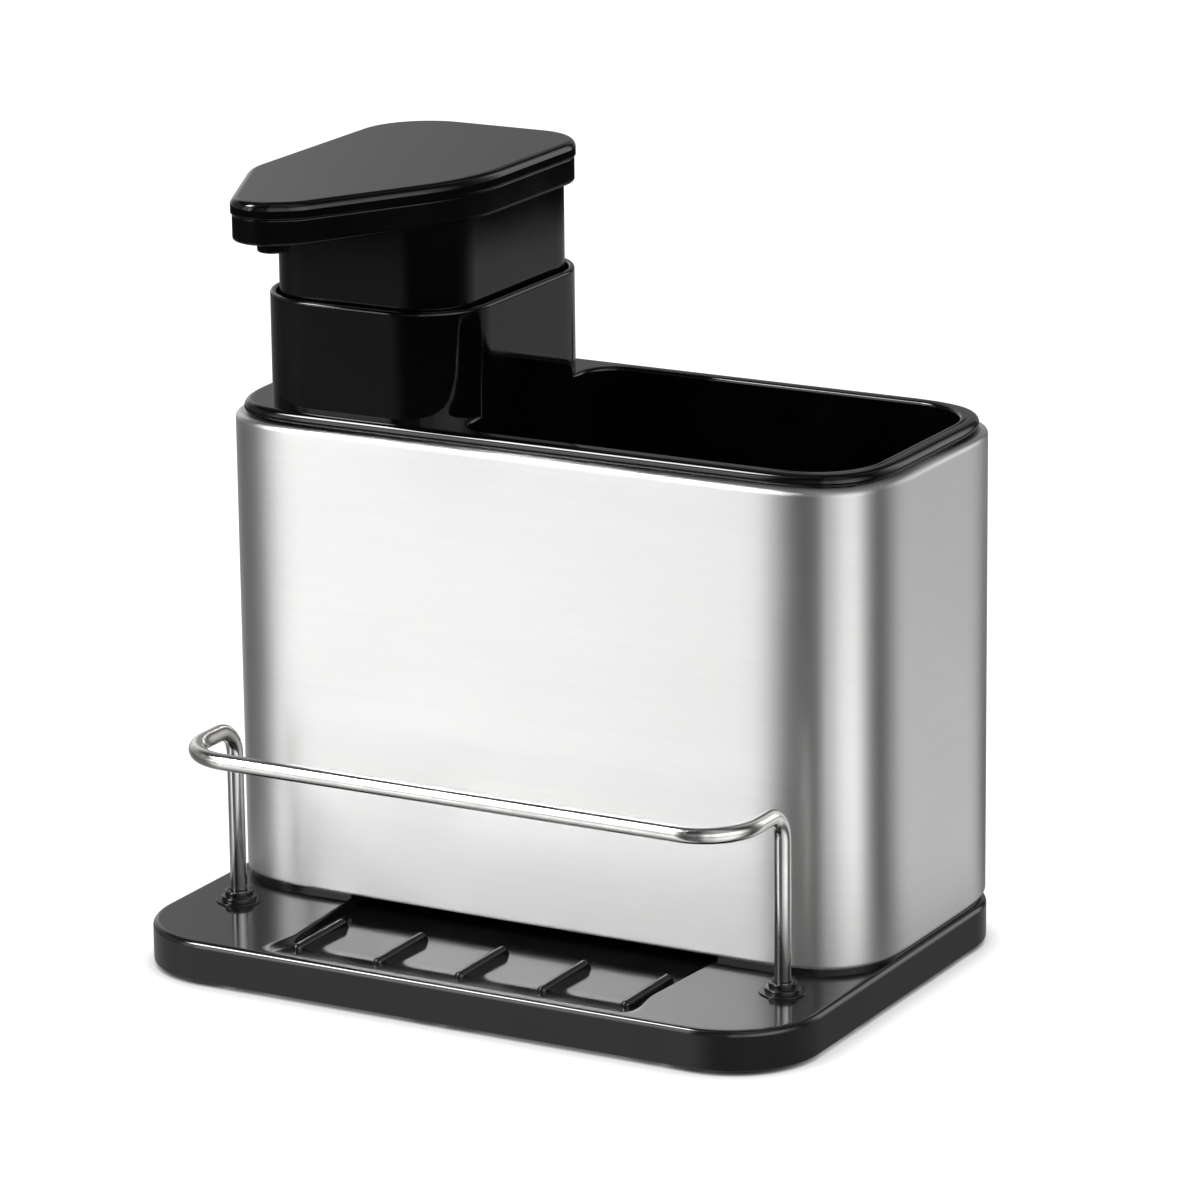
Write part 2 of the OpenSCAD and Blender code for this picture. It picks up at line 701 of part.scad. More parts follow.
module rail_push_nuts() {
    nut_top = deck_z - deck_t - grommet_flange_t - fit_gap;
    color(steel) for (s = [-1, 1])
        translate([s*post_x, post_y, nut_top - nut_t]) tube(nut_r, wire_r + fit_gap/2, nut_t);
}

// The bin's plan, moved out by grow: small corners beside the collar, large ones at the right
module bin_plan(grow) {
    for (sy = [-1, 1]) {
        translate([bin_right - bin_r, sy*(bin_d/2 - bin_r)]) circle(bin_r + grow);
        translate([bin_left + bin_left_r, sy*(bin_d/2 - bin_left_r)]) circle(bin_left_r + grow);
    }
    translate([bin_left + bin_left_r, -bin_d/2 - grow]) square([bin_w - bin_left_r - bin_r, bin_d + 2*grow]);
    translate([bin_left - grow, bin_left_r - bin_d/2])
        square([bin_left_r + 2*grow, bin_d - 2*bin_left_r]);
    translate([bin_right - bin_r, bin_r - bin_d/2]) square([bin_r + grow, bin_d - 2*bin_r]);
}

module caddy_insert() {
    rim_z = sleeve_top + seat_gap;
    color(black) difference() {
        union() {
            // rim plate over the sleeve's lip
            translate([0, body_y, rim_z]) inset_slab(rim_inset, rim_top - rim_z, rim_edge_r);
            // collar and bottle pocket in one tube
            translate([axis_x, axis_y, insert_z])
                slab(collar_w, collar_d, collar_top - insert_z, collar_r, collar_t/3);
            // bin
            translate([0, body_y, insert_z]) linear_extrude(rim_z - insert_z + rim_h/2) bin_plan(bin_wall);
        }
        translate([axis_x, axis_y, floor_z])
            slab(pocket_w, pocket_d, collar_top - floor_z + cut, pocket_r);
        translate([0, body_y, floor_z]) linear_extrude(rim_top - floor_z + cut) difference() {
            bin_plan(0);
            translate([axis_x, 0]) rrect(collar_w, collar_d, collar_r);
        }
        // drain holes in both floors
        translate([bin_x, body_y, insert_z - cut])
            for (i = [0:drain_cols], j = [0:drain_rows])
                translate([(i - drain_cols/2)*drain_pitch, (j - drain_rows/2)*drain_pitch, 0])
                    cylinder(r = drain_r, h = insert_floor_t + 2*cut);
        for (sx = [-1, 1], sy = [-1, 1])
            translate([axis_x + sx*drain_pitch, axis_y + sy*drain_pitch, insert_z - cut])
                cylinder(r = drain_r, h = insert_floor_t + 2*cut);
    }
}

module soap_bottle() {
    inner_h = bottle_h - 2*bottle_t;
    color(clear_plastic) translate([axis_x, axis_y, bottle_z]) difference() {
        union() {
            slab(bottle_w, bottle_d, bottle_h, bottle_r, shoulder_r, bottle_t);
            translate([0, 0, bottle_h - bottle_t]) cylinder(r = neck_r, h = neck_h + bottle_t);
            for (k = [1:thread_turns])
                translate([0, 0, bottle_h + neck_h - k*thread_pitch]) rotate_extrude()
                    translate([neck_r - neck_t/2, 0])
                        polygon([[0, -thread_h], [neck_t/2, -thread_h], [neck_t/2 + thread_h, 0], [0, 0]]);
        }
        translate([0, 0, bottle_t])
            slab(bottle_w - 2*bottle_t, bottle_d - 2*bottle_t, inner_h,
                bottle_r - bottle_t, shoulder_r - bottle_t);
        translate([0, 0, bottle_h/2]) cylinder(r = neck_bore_r, h = bottle_h + neck_h);
    }
}

module neck_gasket() {
    color(white_plastic) translate([axis_x, axis_y, gasket_z])
        tube(neck_r, cylinder_r + cylinder_t + fit_gap, gasket_t);
}

module screw_closure() {
    skirt_len = closure_top - bottle_top - closure_gap;
    color(black) translate([axis_x, axis_y, closure_top - skirt_len]) difference() {
        cylinder(r = closure_r, h = skirt_len);
        translate([0, 0, -cut]) cylinder(r = thread_r + fit_gap, h = skirt_len - closure_t + cut);
        cylinder(r = guide_r + fit_gap, h = skirt_len + cut);
        for (k = [0:flute_count - 1]) rotate([0, 0, 360*k/flute_count])
            translate([closure_r, 0, -cut]) cylinder(r = flute_r, h = skirt_len - closure_t + cut, $fn = 12);
    }
}

module pump_cylinder() {
    wall_r = cylinder_r + cylinder_t;
    color(white_plastic) translate([axis_x, axis_y, 0]) difference() {
        union() {
            translate([0, 0, cylinder_z - cylinder_t])
                cylinder(r = wall_r, h = cylinder_top - cylinder_z + cylinder_t);
            translate([0, 0, gasket_z + gasket_t]) cylinder(r = cylinder_flange_r, h = cylinder_flange_t);
            translate([0, 0, spigot_z]) cylinder(r = spigot_r, h = cylinder_z - spigot_z);
        }
        translate([0, 0, cylinder_z]) cylinder(r = cylinder_r, h = cylinder_len + cut);
        translate([0, 0, seat_z]) cylinder(r = cage_r, h = cage_h + cut);
        translate([0, 0, spigot_z]) cylinder(r = seat_r, h = seat_z - spigot_z + cut);
        translate([0, 0, spigot_z - cut]) cylinder(r = dip_r + fit_gap/2, h = spigot_len + cut);
    }
}

module stem_guide() {
    color(white_plastic) translate([axis_x, axis_y, 0]) difference() {
        union() {
            translate([0, 0, guide_z]) cylinder(r = cylinder_r - fit_gap, h = guide_plug + fit_gap);
            translate([0, 0, cylinder_top + fit_gap]) cylinder(r = guide_r, h = closure_t + guide_h);
        }
        translate([0, 0, guide_z - cut])
            cylinder(r = stem_r + slide_gap, h = guide_plug + closure_t + guide_h + 2*cut);
    }
}

module inlet_ball() {
    color(bright_steel) translate([axis_x, axis_y, ball_z]) sphere(ball_r);
}

// The return spring, a helix with flat ground ends
spring_steps = 12;
spring_sides = 6;
spring_rise = spring_top - spring_z - 2*spring_wire_r;
function spring_point(t) =
    [spring_r*cos(360*t), spring_r*sin(360*t),
     spring_wire_r + spring_rise*t/spring_coils];
module return_spring() {
    count = spring_coils*spring_steps;
    points = [for (k = [0:count]) let (c = spring_point(k/spring_steps), a = 360*k/spring_steps)
        for (j = [0:spring_sides - 1]) let (b = 360*j/spring_sides)
        c + spring_wire_r*[cos(a)*cos(b), sin(a)*cos(b), sin(b)]];
    sides = [for (k = [0:count - 1]) for (j = [0:spring_sides - 1])
        let (a = k*spring_sides + j, b = k*spring_sides + (j + 1) % spring_sides)
        each [[a, b, b + spring_sides], [a, b + spring_sides, a + spring_sides]]];
    foot = [for (j = [spring_sides - 1:-1:0]) j];
    head = [for (j = [0:spring_sides - 1]) count*spring_sides + j];
    color(steel) translate([axis_x, axis_y, spring_z]) polyhedron(points, concat(sides, [foot, head]));
}

module dip_tube() {
    color(clear_plastic) translate([axis_x, axis_y, dip_z]) tube(dip_r, dip_bore_r, dip_top - dip_z);
}

module piston_seal() {
    lip_t = piston_len/4;
    color(soft_black) translate([axis_x, axis_y, piston_z]) difference() {
        union() {
            cylinder(r = cylinder_r - slide_gap, h = lip_t);
            cylinder(r = cylinder_r - cylinder_t, h = piston_len);
            translate([0, 0, piston_len - lip_t]) cylinder(r = cylinder_r - slide_gap, h = lip_t);
        }
        translate([0, 0, -cut]) cylinder(r = piston_neck_r + fit_gap/2, h = piston_len + 2*cut);
    }
}

module pump_stem() {
    color(white_plastic) translate([axis_x, axis_y, 0]) difference() {
        union() {
            translate([0, 0, piston_top + fit_gap/2])
                cylinder(r = stem_r, h = stem_top - piston_top - fit_gap);
            translate([0, 0, stem_z]) cylinder(r = piston_neck_r, h = piston_top - stem_z + fit_gap);
            translate([0, 0, stem_z]) cylinder(r = spring_r + spring_wire_r, h = stem_tip_t - fit_gap/2);
        }
        translate([0, 0, stem_z + stem_tip_t]) cylinder(r = stem_bore_r, h = stem_top - stem_z);
        // the side port above the tip, where soap enters the stem
        translate([-stem_r, 0, stem_z + stem_tip_t + stem_bore_r/2])
            rotate([0, 90, 0]) cylinder(r = stem_bore_r/2, h = 2*stem_r);
    }
}

module screw_places() {
    for (s = [-1, 1]) translate([axis_x + s*screw_side, axis_y, 0]) children();
}

module head_shroud() {
    shroud_top = skirt_z - fit_gap/2;
    color(black) difference() {
        union() {
            difference() {
                translate([axis_x, axis_y, shroud_z])
                    slab(shroud_w, shroud_d, shroud_top - shroud_z, shroud_r, 0, shroud_t/3);
                translate([axis_x, axis_y, shroud_z - cut])
                    slab(shroud_w - 2*shroud_t, shroud_d - 2*shroud_t,
                        shroud_top - shroud_top_t - shroud_z + cut, shroud_r - shroud_t);
            }
            screw_places() translate([0, 0, skirt_z - screw_len])
                cylinder(r = screw_boss_r, h = screw_len - shroud_top_t/2);
        }
        translate([axis_x, axis_y, skirt_z - screw_len]) cylinder(r = shroud_hole_r, h = screw_len + cut);
        screw_places() translate([0, 0, skirt_z - screw_len - cut])
            cylinder(r = screw_r + fit_gap/2, h = screw_len + 2*cut);
    }
}

module shroud_screws() {
    color(steel) screw_places() {
        translate([0, 0, skirt_plate_top + fit_gap]) difference() {
            cylinder(r = screw_head_r, h = screw_head_t);
            for (a = [0, 90]) translate([0, 0, screw_head_t]) rotate([0, 0, a])
                cube([screw_head_r, screw_r/3, screw_head_t], center = true);
        }
        translate([0, 0, skirt_plate_top + fit_gap - screw_len]) cylinder(r = screw_r, h = screw_len);
    }
}

module head_body() {
    hole_r = nozzle_r + fit_gap;
    color(black) difference() {
        translate([axis_x, axis_y, skirt_z]) difference() {
            head_plate(-cover_proud, skirt_h);
            translate([0, 0, skirt_t]) head_plate(-cover_proud - skirt_t, skirt_h);
        }
        translate([axis_x, axis_y, skirt_z - cut]) cylinder(r = socket_r + fit_gap, h = skirt_t + 2*cut);
        translate([nozzle_x, nozzle_y, skirt_z - cut]) cylinder(r = hole_r, h = skirt_t + 2*cut);
        screw_places() translate([0, 0, skirt_z - cut])
            cylinder(r = screw_r + fit_gap, h = skirt_t + 2*cut);
    }
}

module spout_channel() {
    color(white_plastic) difference() {
        union() {
            translate([axis_x, axis_y, socket_z])
                cylinder(r = socket_r, h = spout_z + spout_r - socket_z);
            translate([axis_x, axis_y, spout_z]) rotate([0, 0, -spout_angle]) rotate([90, 0, 0])
                cylinder(r = spout_r, h = spout_run);
            translate([nozzle_x, nozzle_y, skirt_z])
                cylinder(r = spout_r - fit_gap, h = spout_z + spout_r - skirt_z);
        }
        translate([axis_x, axis_y, socket_z - cut])
            cylinder(r = stem_r + fit_gap/2, h = stem_top - socket_z + cut);
        translate([axis_x, axis_y, spout_z]) rotate([0, 0, -spout_angle]) rotate([90, 0, 0])
            cylinder(r = spout_bore_r, h = spout_run);
        translate([nozzle_x, nozzle_y, nozzle_z])
            cylinder(r = spout_bore_r + fit_gap, h = spout_z - nozzle_z);
    }
}

module nozzle_tip() {
    color(soft_black) translate([nozzle_x, nozzle_y, nozzle_z]) difference() {
        cylinder(r = nozzle_r, h = nozzle_drop + skirt_t);
        translate([0, 0, -cut]) cylinder(r = spout_bore_r, h = nozzle_len + cut);
        translate([0, 0, nozzle_drop - fit_gap]) cylinder(r = spout_r, h = nozzle_len);
    }
}

module head_cover() {
    edge_steps = 5;
    straight = cover_h - cover_edge_r;
    rings = concat([[0, outline(head_corners, 0)]],
        [for (k = [0:edge_steps]) let (a = 90*k/edge_steps)
            [straight + cover_edge_r*sin(a), outline(head_corners, cover_edge_r*(cos(a) - 1))]]);
    lip_out = skirt_t + cover_proud + fit_gap;
    color(black) translate([axis_x, axis_y, seam_z]) union() {
        difference() {
            ring_skin(rings);
            translate([0, 0, -cut]) head_plate(-lip_out - cover_t, cover_h - cover_t + cut);
        }
        // inner lip that plugs into the skirt
        translate([0, 0, -cover_t]) difference() {
            head_plate(-lip_out, cover_t + cover_h/4);
            translate([0, 0, -cut]) head_plate(-lip_out - cover_t, cover_t + cover_h);
        }
    }
}

base_tray();
rubber_feet();
steel_sleeve();
rail_grommets();
sponge_rail();
rail_push_nuts();
caddy_insert();
soap_bottle();
neck_gasket();
screw_closure();
pump_cylinder();
stem_guide();
inlet_ball();
return_spring();
dip_tube();
piston_seal();
pump_stem();
head_shroud();
shroud_screws();
head_body();
spout_channel();
nozzle_tip();
head_cover();
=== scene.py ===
# Soap pump caddy for a sink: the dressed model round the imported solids.
# Metres. +X is to the right, +Y to the back, +Z up. The origin is on the worktop, under the middle
# of the tray. Places come from the solids' boxes, and the sizes below are what a box can't give.
import json
import math

import bmesh
import bpy
from mathutils import Matrix, Vector
from mathutils.geometry import tessellate_polygon


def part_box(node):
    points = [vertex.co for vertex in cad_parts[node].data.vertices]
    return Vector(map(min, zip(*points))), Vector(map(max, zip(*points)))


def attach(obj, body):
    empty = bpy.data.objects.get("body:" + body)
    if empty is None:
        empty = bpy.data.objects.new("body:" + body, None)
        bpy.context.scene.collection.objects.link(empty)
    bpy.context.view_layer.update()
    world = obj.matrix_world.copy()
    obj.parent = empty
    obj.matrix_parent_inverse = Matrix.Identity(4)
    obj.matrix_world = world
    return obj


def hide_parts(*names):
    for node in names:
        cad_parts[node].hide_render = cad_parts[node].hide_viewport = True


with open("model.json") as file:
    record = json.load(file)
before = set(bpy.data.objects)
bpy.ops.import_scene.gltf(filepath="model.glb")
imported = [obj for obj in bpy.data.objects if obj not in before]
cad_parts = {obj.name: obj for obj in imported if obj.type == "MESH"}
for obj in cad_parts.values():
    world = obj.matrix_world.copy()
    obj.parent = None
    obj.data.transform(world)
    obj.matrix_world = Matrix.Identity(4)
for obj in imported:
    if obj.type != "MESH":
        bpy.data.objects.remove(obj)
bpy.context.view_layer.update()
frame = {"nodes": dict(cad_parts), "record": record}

MM = 0.001
HOLD = 0.25*MM          # strip beside a bend that stays flat, so that large faces shade flat
HOLD_SHARE = 0.9        # the most that the strip takes of the room beside the bend
LEAST_R = 0.05*MM       # smallest radius of a corner in plan
WELD = 0.001*MM         # points nearer than this are one
SLIVER = 1e-11          # a triangle of less than half this many square metres is left out
STITCHES = 40           # the most corners that one open edge may run past
CUT = 2*MM              # overrun of every cut
SHARP = math.radians(38)
UP = Vector((0, 0, 1))
DOWN = Vector((0, 0, -1))

# Edge radii that several pieces share, from crisp to round
HAIR_R = 0.1*MM
FINE_R = 0.2*MM
SOFT_R = 0.3*MM
EASY_R = 0.4*MM
FULL_R = 0.5*MM
BROAD_R = 0.6*MM
EDGE_SHARE = 0.45       # radius of a rounded sheet edge, as a share of the sheet's thickness


# Sizes read from the solids

tray_low, tray_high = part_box("base_tray")
sleeve_low, sleeve_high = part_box("steel_sleeve")
insert_low, insert_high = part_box("caddy_insert")
feet_low, feet_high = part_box("rubber_feet")
grommet_low, grommet_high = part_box("rail_grommets")
rail_low, rail_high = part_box("sponge_rail")
nut_low, nut_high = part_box("rail_push_nuts")
bottle_low, bottle_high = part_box("soap_bottle")
closure_low, closure_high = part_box("screw_closure")
shroud_low, shroud_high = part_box("head_shroud")
skirt_low, skirt_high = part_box("head_body")
cover_low, cover_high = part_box("head_cover")
nozzle_low, nozzle_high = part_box("nozzle_tip")

axis_x = (shroud_low.x + shroud_high.x)/2
axis_y = (shroud_low.y + shroud_high.y)/2


# Sizes of the tray

SHOULDER_H = 1.1*MM
FOOT_PROUD = 1*MM
TRAY_R = 22*MM
TRAY_WALL = 1.8*MM
TRAY_EDGE_R = 1.5*MM
TRAY_LIP_R = 0.35*MM    # inner edge of the tray's foot
DECK_T = 1.8*MM
DECK_RIM = 1.55*MM      # from the tray's edge to where its flat deck begins
RECESS_MARGIN = 1.85*MM
RECESS_STEP = 2.1*MM    # depth at the foot of the recess's front slope
RECESS_DROP = 0.5*MM    # further fall from there to the sump
RECESS_BACK_W = 98*MM
RECESS_FRONT_W = 91.6*MM
RECESS_TAIL_R = 4*MM    # round ends of the recess's front slope
STEP_SOFT = 14.8*MM     # length of the soft slope at the recess's front
STEP_START_SHARE = 0.02
STEP_END_SHARE = 0.42   # the share of that slope over which it eases out at its foot
STEP_ROWS = 24
SUMP_STEPS = 12
SIDE_STEPS = 10
TAIL_SOFT = 5*MM        # length of the soft slope at that slope's ends
SIDE_SOFT = 1.2*MM      # length of the slope at the recess's sides
SUMP_INSET = 5.4*MM
LOCATOR_INSET = 3.6*MM
SHOULDER_INSET = 1.2*MM
RIB_COUNT = 5
RIB_W = 2.5*MM
RIB_SIDE = 1.8*MM
RIB_MARGIN = 9.3*MM     # from the tray's edge to the rib noses
RIB_BACK_GAP = 12.8*MM
RIB_TAIL = 1.7*MM       # length and fall of a rib's slanted rear end
RIB_TAPER_SHARE = 0.1
RIB_STEPS = 16
NOSE_STEPS = 10
TAIL_STEPS = 6
FOOT_R = 6*MM
FOOT_PLAY = 0.1*MM
FOOT_BOSS_T = 1.3*MM
WEB_T = 1.4*MM
WEB_LIFT = 0.8*MM
WEB_NUTS = 1.5          # from a post to the web beside it, in widths of a push nut
CLIP_W = 9*MM
CLIP_REACH = 1.6*MM
CLIP_H = 2.4*MM
CLIP_LIFT = 0.9*MM
BACK_CLIP_X = 43.75*MM

# Sizes of the sleeve

SLEEVE_R = 21.2*MM
BEND_R = 20.7*MM        # of the sheet's soft corners, whose bend starts slowly
SHEET_T = 0.7*MM
ROLL_R = 1.4*MM
FOLD_R = 1*MM
LIP_W = 4.4*MM
FLANGE_W = 3.4*MM
SEAM_W = 1.4*MM
SEAM_PROUD = 0.08*MM
SEAM_SINK = 0.02*MM
SEAM_STEPS = 8

# Sizes of the rail and its grommets

WIRE_R = 2*MM
RAIL_BEND_R = 13*MM
POST_BEND_R = 7*MM
WIRE_SIDES = 28
WIRE_STEPS = 20
WIRE_END_SHARE = 0.3    # place of the ring that rounds a wire's end
GROMMET_PLAY = 0.03*MM
GROMMET_WAIST_R = 3*MM
GROMMET_BULGE_R = 4.3*MM
GROMMET_RING_R = 3.4*MM
GROMMET_RING_FOOT_R = 0.12*MM
GROMMET_FLANGE_T = 0.35*MM
GROMMET_FLANGE_R = 0.08*MM
GROMMET_FLANGE_TOP_R = 0.15*MM
GROMMET_FLANGE_SLANT = 0.2*MM
GROMMET_RING_RISE = 0.1*MM

# Sizes of the insert

RIM_INSET = 2.1*MM
RIM_H = 3.2*MM
RIM_EDGE_R = 1.9*MM
RIM_FOOT_R = 0.7*MM
RIM_SEAT = 0.35*MM
RIM_TOP_W = 3*MM
RIM_SEAT_W = 2*MM
BIN_INSET = 6.5*MM
BIN_R = 16*MM
BIN_LEFT_R = 9*MM
BIN_WALL = 1.6*MM
BIN_WALL_SINK = 0.3*MM  # of the bin's left wall in the collar's wall
BIN_EDGE_R = 0.9*MM
BIN_DRAFT = 0.5*MM
BIN_FLOOR_R = 3*MM
BIN_FOOT_R = 2.5*MM
BIN_FLAT_INSET = 6*MM
PLATE_FLAT_W = 1.5*MM
INSERT_FLOOR_T = 2*MM
COLLAR_W = 57.5*MM
COLLAR_SIDE = 5.65*MM
COLLAR_R = 18*MM
COLLAR_T = 1.5*MM
COLLAR_TOP_SHARE = 0.8
COLLAR_FLAT_INSET = 8*MM
COLLAR_FOOT_R = 1.5*MM
MOUTH_R = 0.6*MM
MOUTH_STEPS = 6
DRAIN_R = 2.2*MM
DRAIN_SIDES = 24
DRAIN_PITCH = 13*MM

# Sizes of the bottle and its closure

BOTTLE_R = 15.8*MM
BOTTLE_T = 1.2*MM
BOTTLE_SHOULDER_R = 8*MM
BOTTLE_FLAT_INSET = 10*MM
BOTTLE_FOOT_R = 3*MM
BOTTLE_FOOT_INNER_R = 2.5*MM
BOTTLE_RING_W = 5*MM    # of the ring that the bottle stands on
BOTTLE_RING_R = 1*MM
BOTTLE_DISH_INSET = 8*MM
BOTTLE_DISH = 0.6*MM    # rise of the base inside that ring
NECK_R = 13.4*MM
NECK_T = 1.6*MM
NECK_H = 16*MM
NECK_SIDES = 72
NECK_ROOT_R = 1*MM
NECK_ROOT_W = 2*MM
NECK_INNER_ROOT_R = 0.8*MM
THREAD_TURNS = 3
THREAD_H = 0.9*MM
THREAD_FOOT_R = 0.15*MM
CLOSURE_GAP = 3.2*MM
CLOSURE_T = 1.6*MM
CLOSURE_SIDES = 96
CLOSURE_TOP_R = 1*MM
CLOSURE_PLAY = 0.15*MM
GUIDE_HOLE_R = 9.3*MM
GRIP_COUNT = 36
GRIP_H = 0.6*MM
GRIP_ROOT = 0.3*MM
GRIP_SHARE = 0.62       # width of a grip rib, as a share of the pitch
GRIP_LOW = 1*MM
GRIP_HIGH = 1.8*MM
GRIP_STEPS = 10

# Sizes of the pump head

SHROUD_R = 13.5*MM
SHROUD_T = 1.6*MM
SHROUD_INNER_R = 1*MM
SHROUD_FLAT_INSET = 8*MM
SKIRT_T = 1.6*MM
SKIRT_TOP_R = 0.45*MM
SKIRT_FOOT_R = 0.7*MM
SKIRT_ROOT_R = 0.8*MM
HEAD_FLAT_INSET = 5*MM
COVER_PROUD = 0.35*MM
COVER_EDGE_R = 1.9*MM
COVER_FOOT_R = 0.25*MM
COVER_T = 1.5*MM
COVER_FLAT_INSET = 4*MM
NOZZLE_BORE_R = 1.8*MM
NOZZLE_PLAY = 0.1*MM
# Corners of the head in plan from the pump's axis, anticlockwise from the back right: x, y, radius
HEAD_CORNERS = [(28.85, 34.3, 13.6), (-26.6, 34.3, 18), (-26.6, -35, 19),
                (-8.95, -74.3, 9.4), (5.55, -65.3, 12), (28.85, -25.1, 50)]

deck_z = sleeve_low.z - SHOULDER_H
under_z = deck_z - DECK_T
sump_z = deck_z - RECESS_STEP - RECESS_DROP
sleeve_y = (sleeve_low.y + sleeve_high.y)/2


# Plans and paths

def fillet(here, toward, onward, radius, steps):
    """The arc that rounds the corner between two directions, from the first to the second."""
    half = toward.angle(onward)/2
    centre = here + (toward + onward).normalized()*(radius/math.sin(half))
    across = here + toward*(radius/math.tan(half)) - centre
    turns = [(math.pi - 2*half)*k/steps for k in range(steps + 1)]
    return [centre + across*math.cos(turn) - toward*radius*math.sin(turn) for turn in turns]


def rounded(corners, steps=16):
    """A plan with round corners (x, y, radius), anticlockwise, as a function of its inset."""
    def plan(inset=0.0):
        points = []
        for k, (x, y, radius) in enumerate(corners):
            here = Vector((x, y))
            before = (Vector(corners[k - 1][:2]) - here).normalized()
            after = (Vector(corners[(k + 1) % len(corners)][:2]) - here).normalized()
            inward = (before + after).normalized()*(inset/math.sin(before.angle(after)/2))
            arc = fillet(here + inward, before, after, max(radius - inset, LEAST_R), steps)
            points += [arc[0] + before*HOLD, *arc, arc[-1] + after*HOLD]
        return points
    return plan


def box_plan(low, high, *radii, steps=16):
    """The plan of a rectangle. The radii go anticlockwise from the front right corner."""
    r = radii if len(radii) == 4 else radii*4
    return rounded([(high[0], low[1], r[0]), (high[0], high[1], r[1]),
                    (low[0], high[1], r[2]), (low[0], low[1], r[3])], steps)


def slow_turn(t, slow=2.5):
    """A soft step from 0 to 1 that begins and ends very slowly."""
    return 0.5*(2*t)**slow if t < 0.5 else 1 - 0.5*(2 - 2*t)**slow


def eased_plan(low, high, radius, steps=48):
    """Like box_plan, but its corners ease into the flats, as bent sheet does."""
    turns = [math.pi/2*slow_turn(k/steps) for k in range(steps + 1)]
    curve = [Vector((0, 0))]
    for a, b in zip(turns, turns[1:]):
        curve.append(curve[-1] + Vector((math.cos((a + b)/2), math.sin((a + b)/2))))
    size = radius*(1 - math.sqrt(0.5))/curve[steps//2].y
    reach = curve[-1].x*size
    corners = [(high[0], low[1]), (high[0], high[1]), (low[0], high[1]), (low[0], low[1])]

    def plan(inset=0.0):
        points = []
        for k, corner in enumerate(corners):
            turned_by = Matrix.Rotation(math.pi/2*k, 2)
            for spot, turn in zip(curve, turns):
                inward = Vector((-math.sin(turn), math.cos(turn)))
                points.append(Vector(corner) + turned_by @ (spot*size - Vector((reach, 0)) + inward*inset))
        return points
    return plan


def disc(x, y, steps=48):
    """The plan of a turned piece, whose inset is minus the radius."""
    def plan(inset):
        return [Vector((x - inset*math.cos(math.tau*k/steps), y - inset*math.sin(math.tau*k/steps)))
                for k in range(steps)]
    return plan


def bent(path, closed=False, steps=6):
    """A path with its corners rounded. Each is (u, v, radius), and an end is (u, v)."""
    points = []
    for k, corner in enumerate(path):
        here = Vector(corner[:2])
        if not closed and k in (0, len(path) - 1):
            points.append(here)
            continue
        before = Vector(path[k - 1][:2]) - here
        after = Vector(path[(k + 1) % len(path)][:2]) - here
        arc = fillet(here, before.normalized(), after.normalized(), corner[2], steps)
        reach = (arc[0] - here).length
        holds = [min(HOLD, HOLD_SHARE*(side.length/2 - reach)) for side in (before, after)]
        if holds[0] > WELD:
            arc.insert(0, arc[0] + before.normalized()*holds[0])
        if holds[1] > WELD:
            arc.append(arc[-1] + after.normalized()*holds[1])
        points += arc
    return points


def rings(plan, path):
    """A ring of points for each (inset, z) of a path."""
    return [[(p.x, p.y, z) for p in plan(inset)] for inset, z in path]


def clamped(t):
    return min(max(t, 0.0), 1.0)


def ease(t):
    """A soft step from 0 to 1."""
    t = clamped(t)
    return t*t*(3 - 2*t)


def shares(steps):
    """The shares from 0 to 1 in equal steps."""
    return [k/steps for k in range(steps + 1)]


# Meshes

class Skin:
    """A mesh in the making: rings of points, joined by bands of faces."""

    def __init__(self):
        self.points = []
        self.faces = []

    def ring(self, points):
        first = len(self.points)
        self.points += [tuple(p) for p in points]
        return list(range(first, len(self.points)))

    def band(self, a, b, closed=True):
        count = len(a)
        for k in range(count if closed else count - 1):
            self.faces.append((a[k], a[(k + 1) % count], b[(k + 1) % count], b[k]))

    def loft(self, sections, around=False):
        """Joins the sections in turn and returns the first and the last."""
        made = [self.ring(s) for s in sections]
        for a, b in zip(made, made[1:]):
            self.band(a, b)
        if around:
            self.band(made[-1], made[0])
        return made[0], made[-1]

    def fill(self, loops, facing):
        """Flat faces inside the first loop and outside the others."""
        order = [i for loop in loops for i in loop]
        flat = [[Vector(self.points[i]) for i in loop] for loop in loops]
        for triangle in tessellate_polygon(flat):
            face = [order[i] for i in triangle]
            a, b, c = (Vector(self.points[i]) for i in face)
            across = (b - a).cross(c - a)
            if across.length < SLIVER:
                continue
            if across.dot(facing) < 0:
                face.reverse()
            self.faces.append(face)

    def solid(self, sections):
        """A closed solid through the sections, flat at both ends."""
        first, last = self.loft(sections)
        self.fill([first], self.middle(first) - self.middle(last))
        self.fill([last], self.middle(last) - self.middle(first))
        return self

    def middle(self, ring):
        return sum((Vector(self.points[i]) for i in ring), Vector())/len(ring)

    def add(self, other):
        """Takes in the points and faces of another skin."""
        shift = len(self.points)
        self.points += other.points
        self.faces += [[i + shift for i in face] for face in other.faces]

    def mesh(self, name):
        made = bpy.data.meshes.new(name)
        made.from_pydata(self.points, [], self.faces)
        return welded(made)


def passed(edge, corners):
    """The share of an edge at which it first runs past one of the corners, if it does."""
    start, end = edge.verts
    along = end.co - start.co
    found = []
    for corner in corners:
        share = (corner.co - start.co).dot(along)/along.length_squared
        apart = (start.co + along*share - corner.co).length
        if corner not in (start, end) and 0 < share < 1 and apart < WELD:
            found.append(share)
    return min(found, default=None)


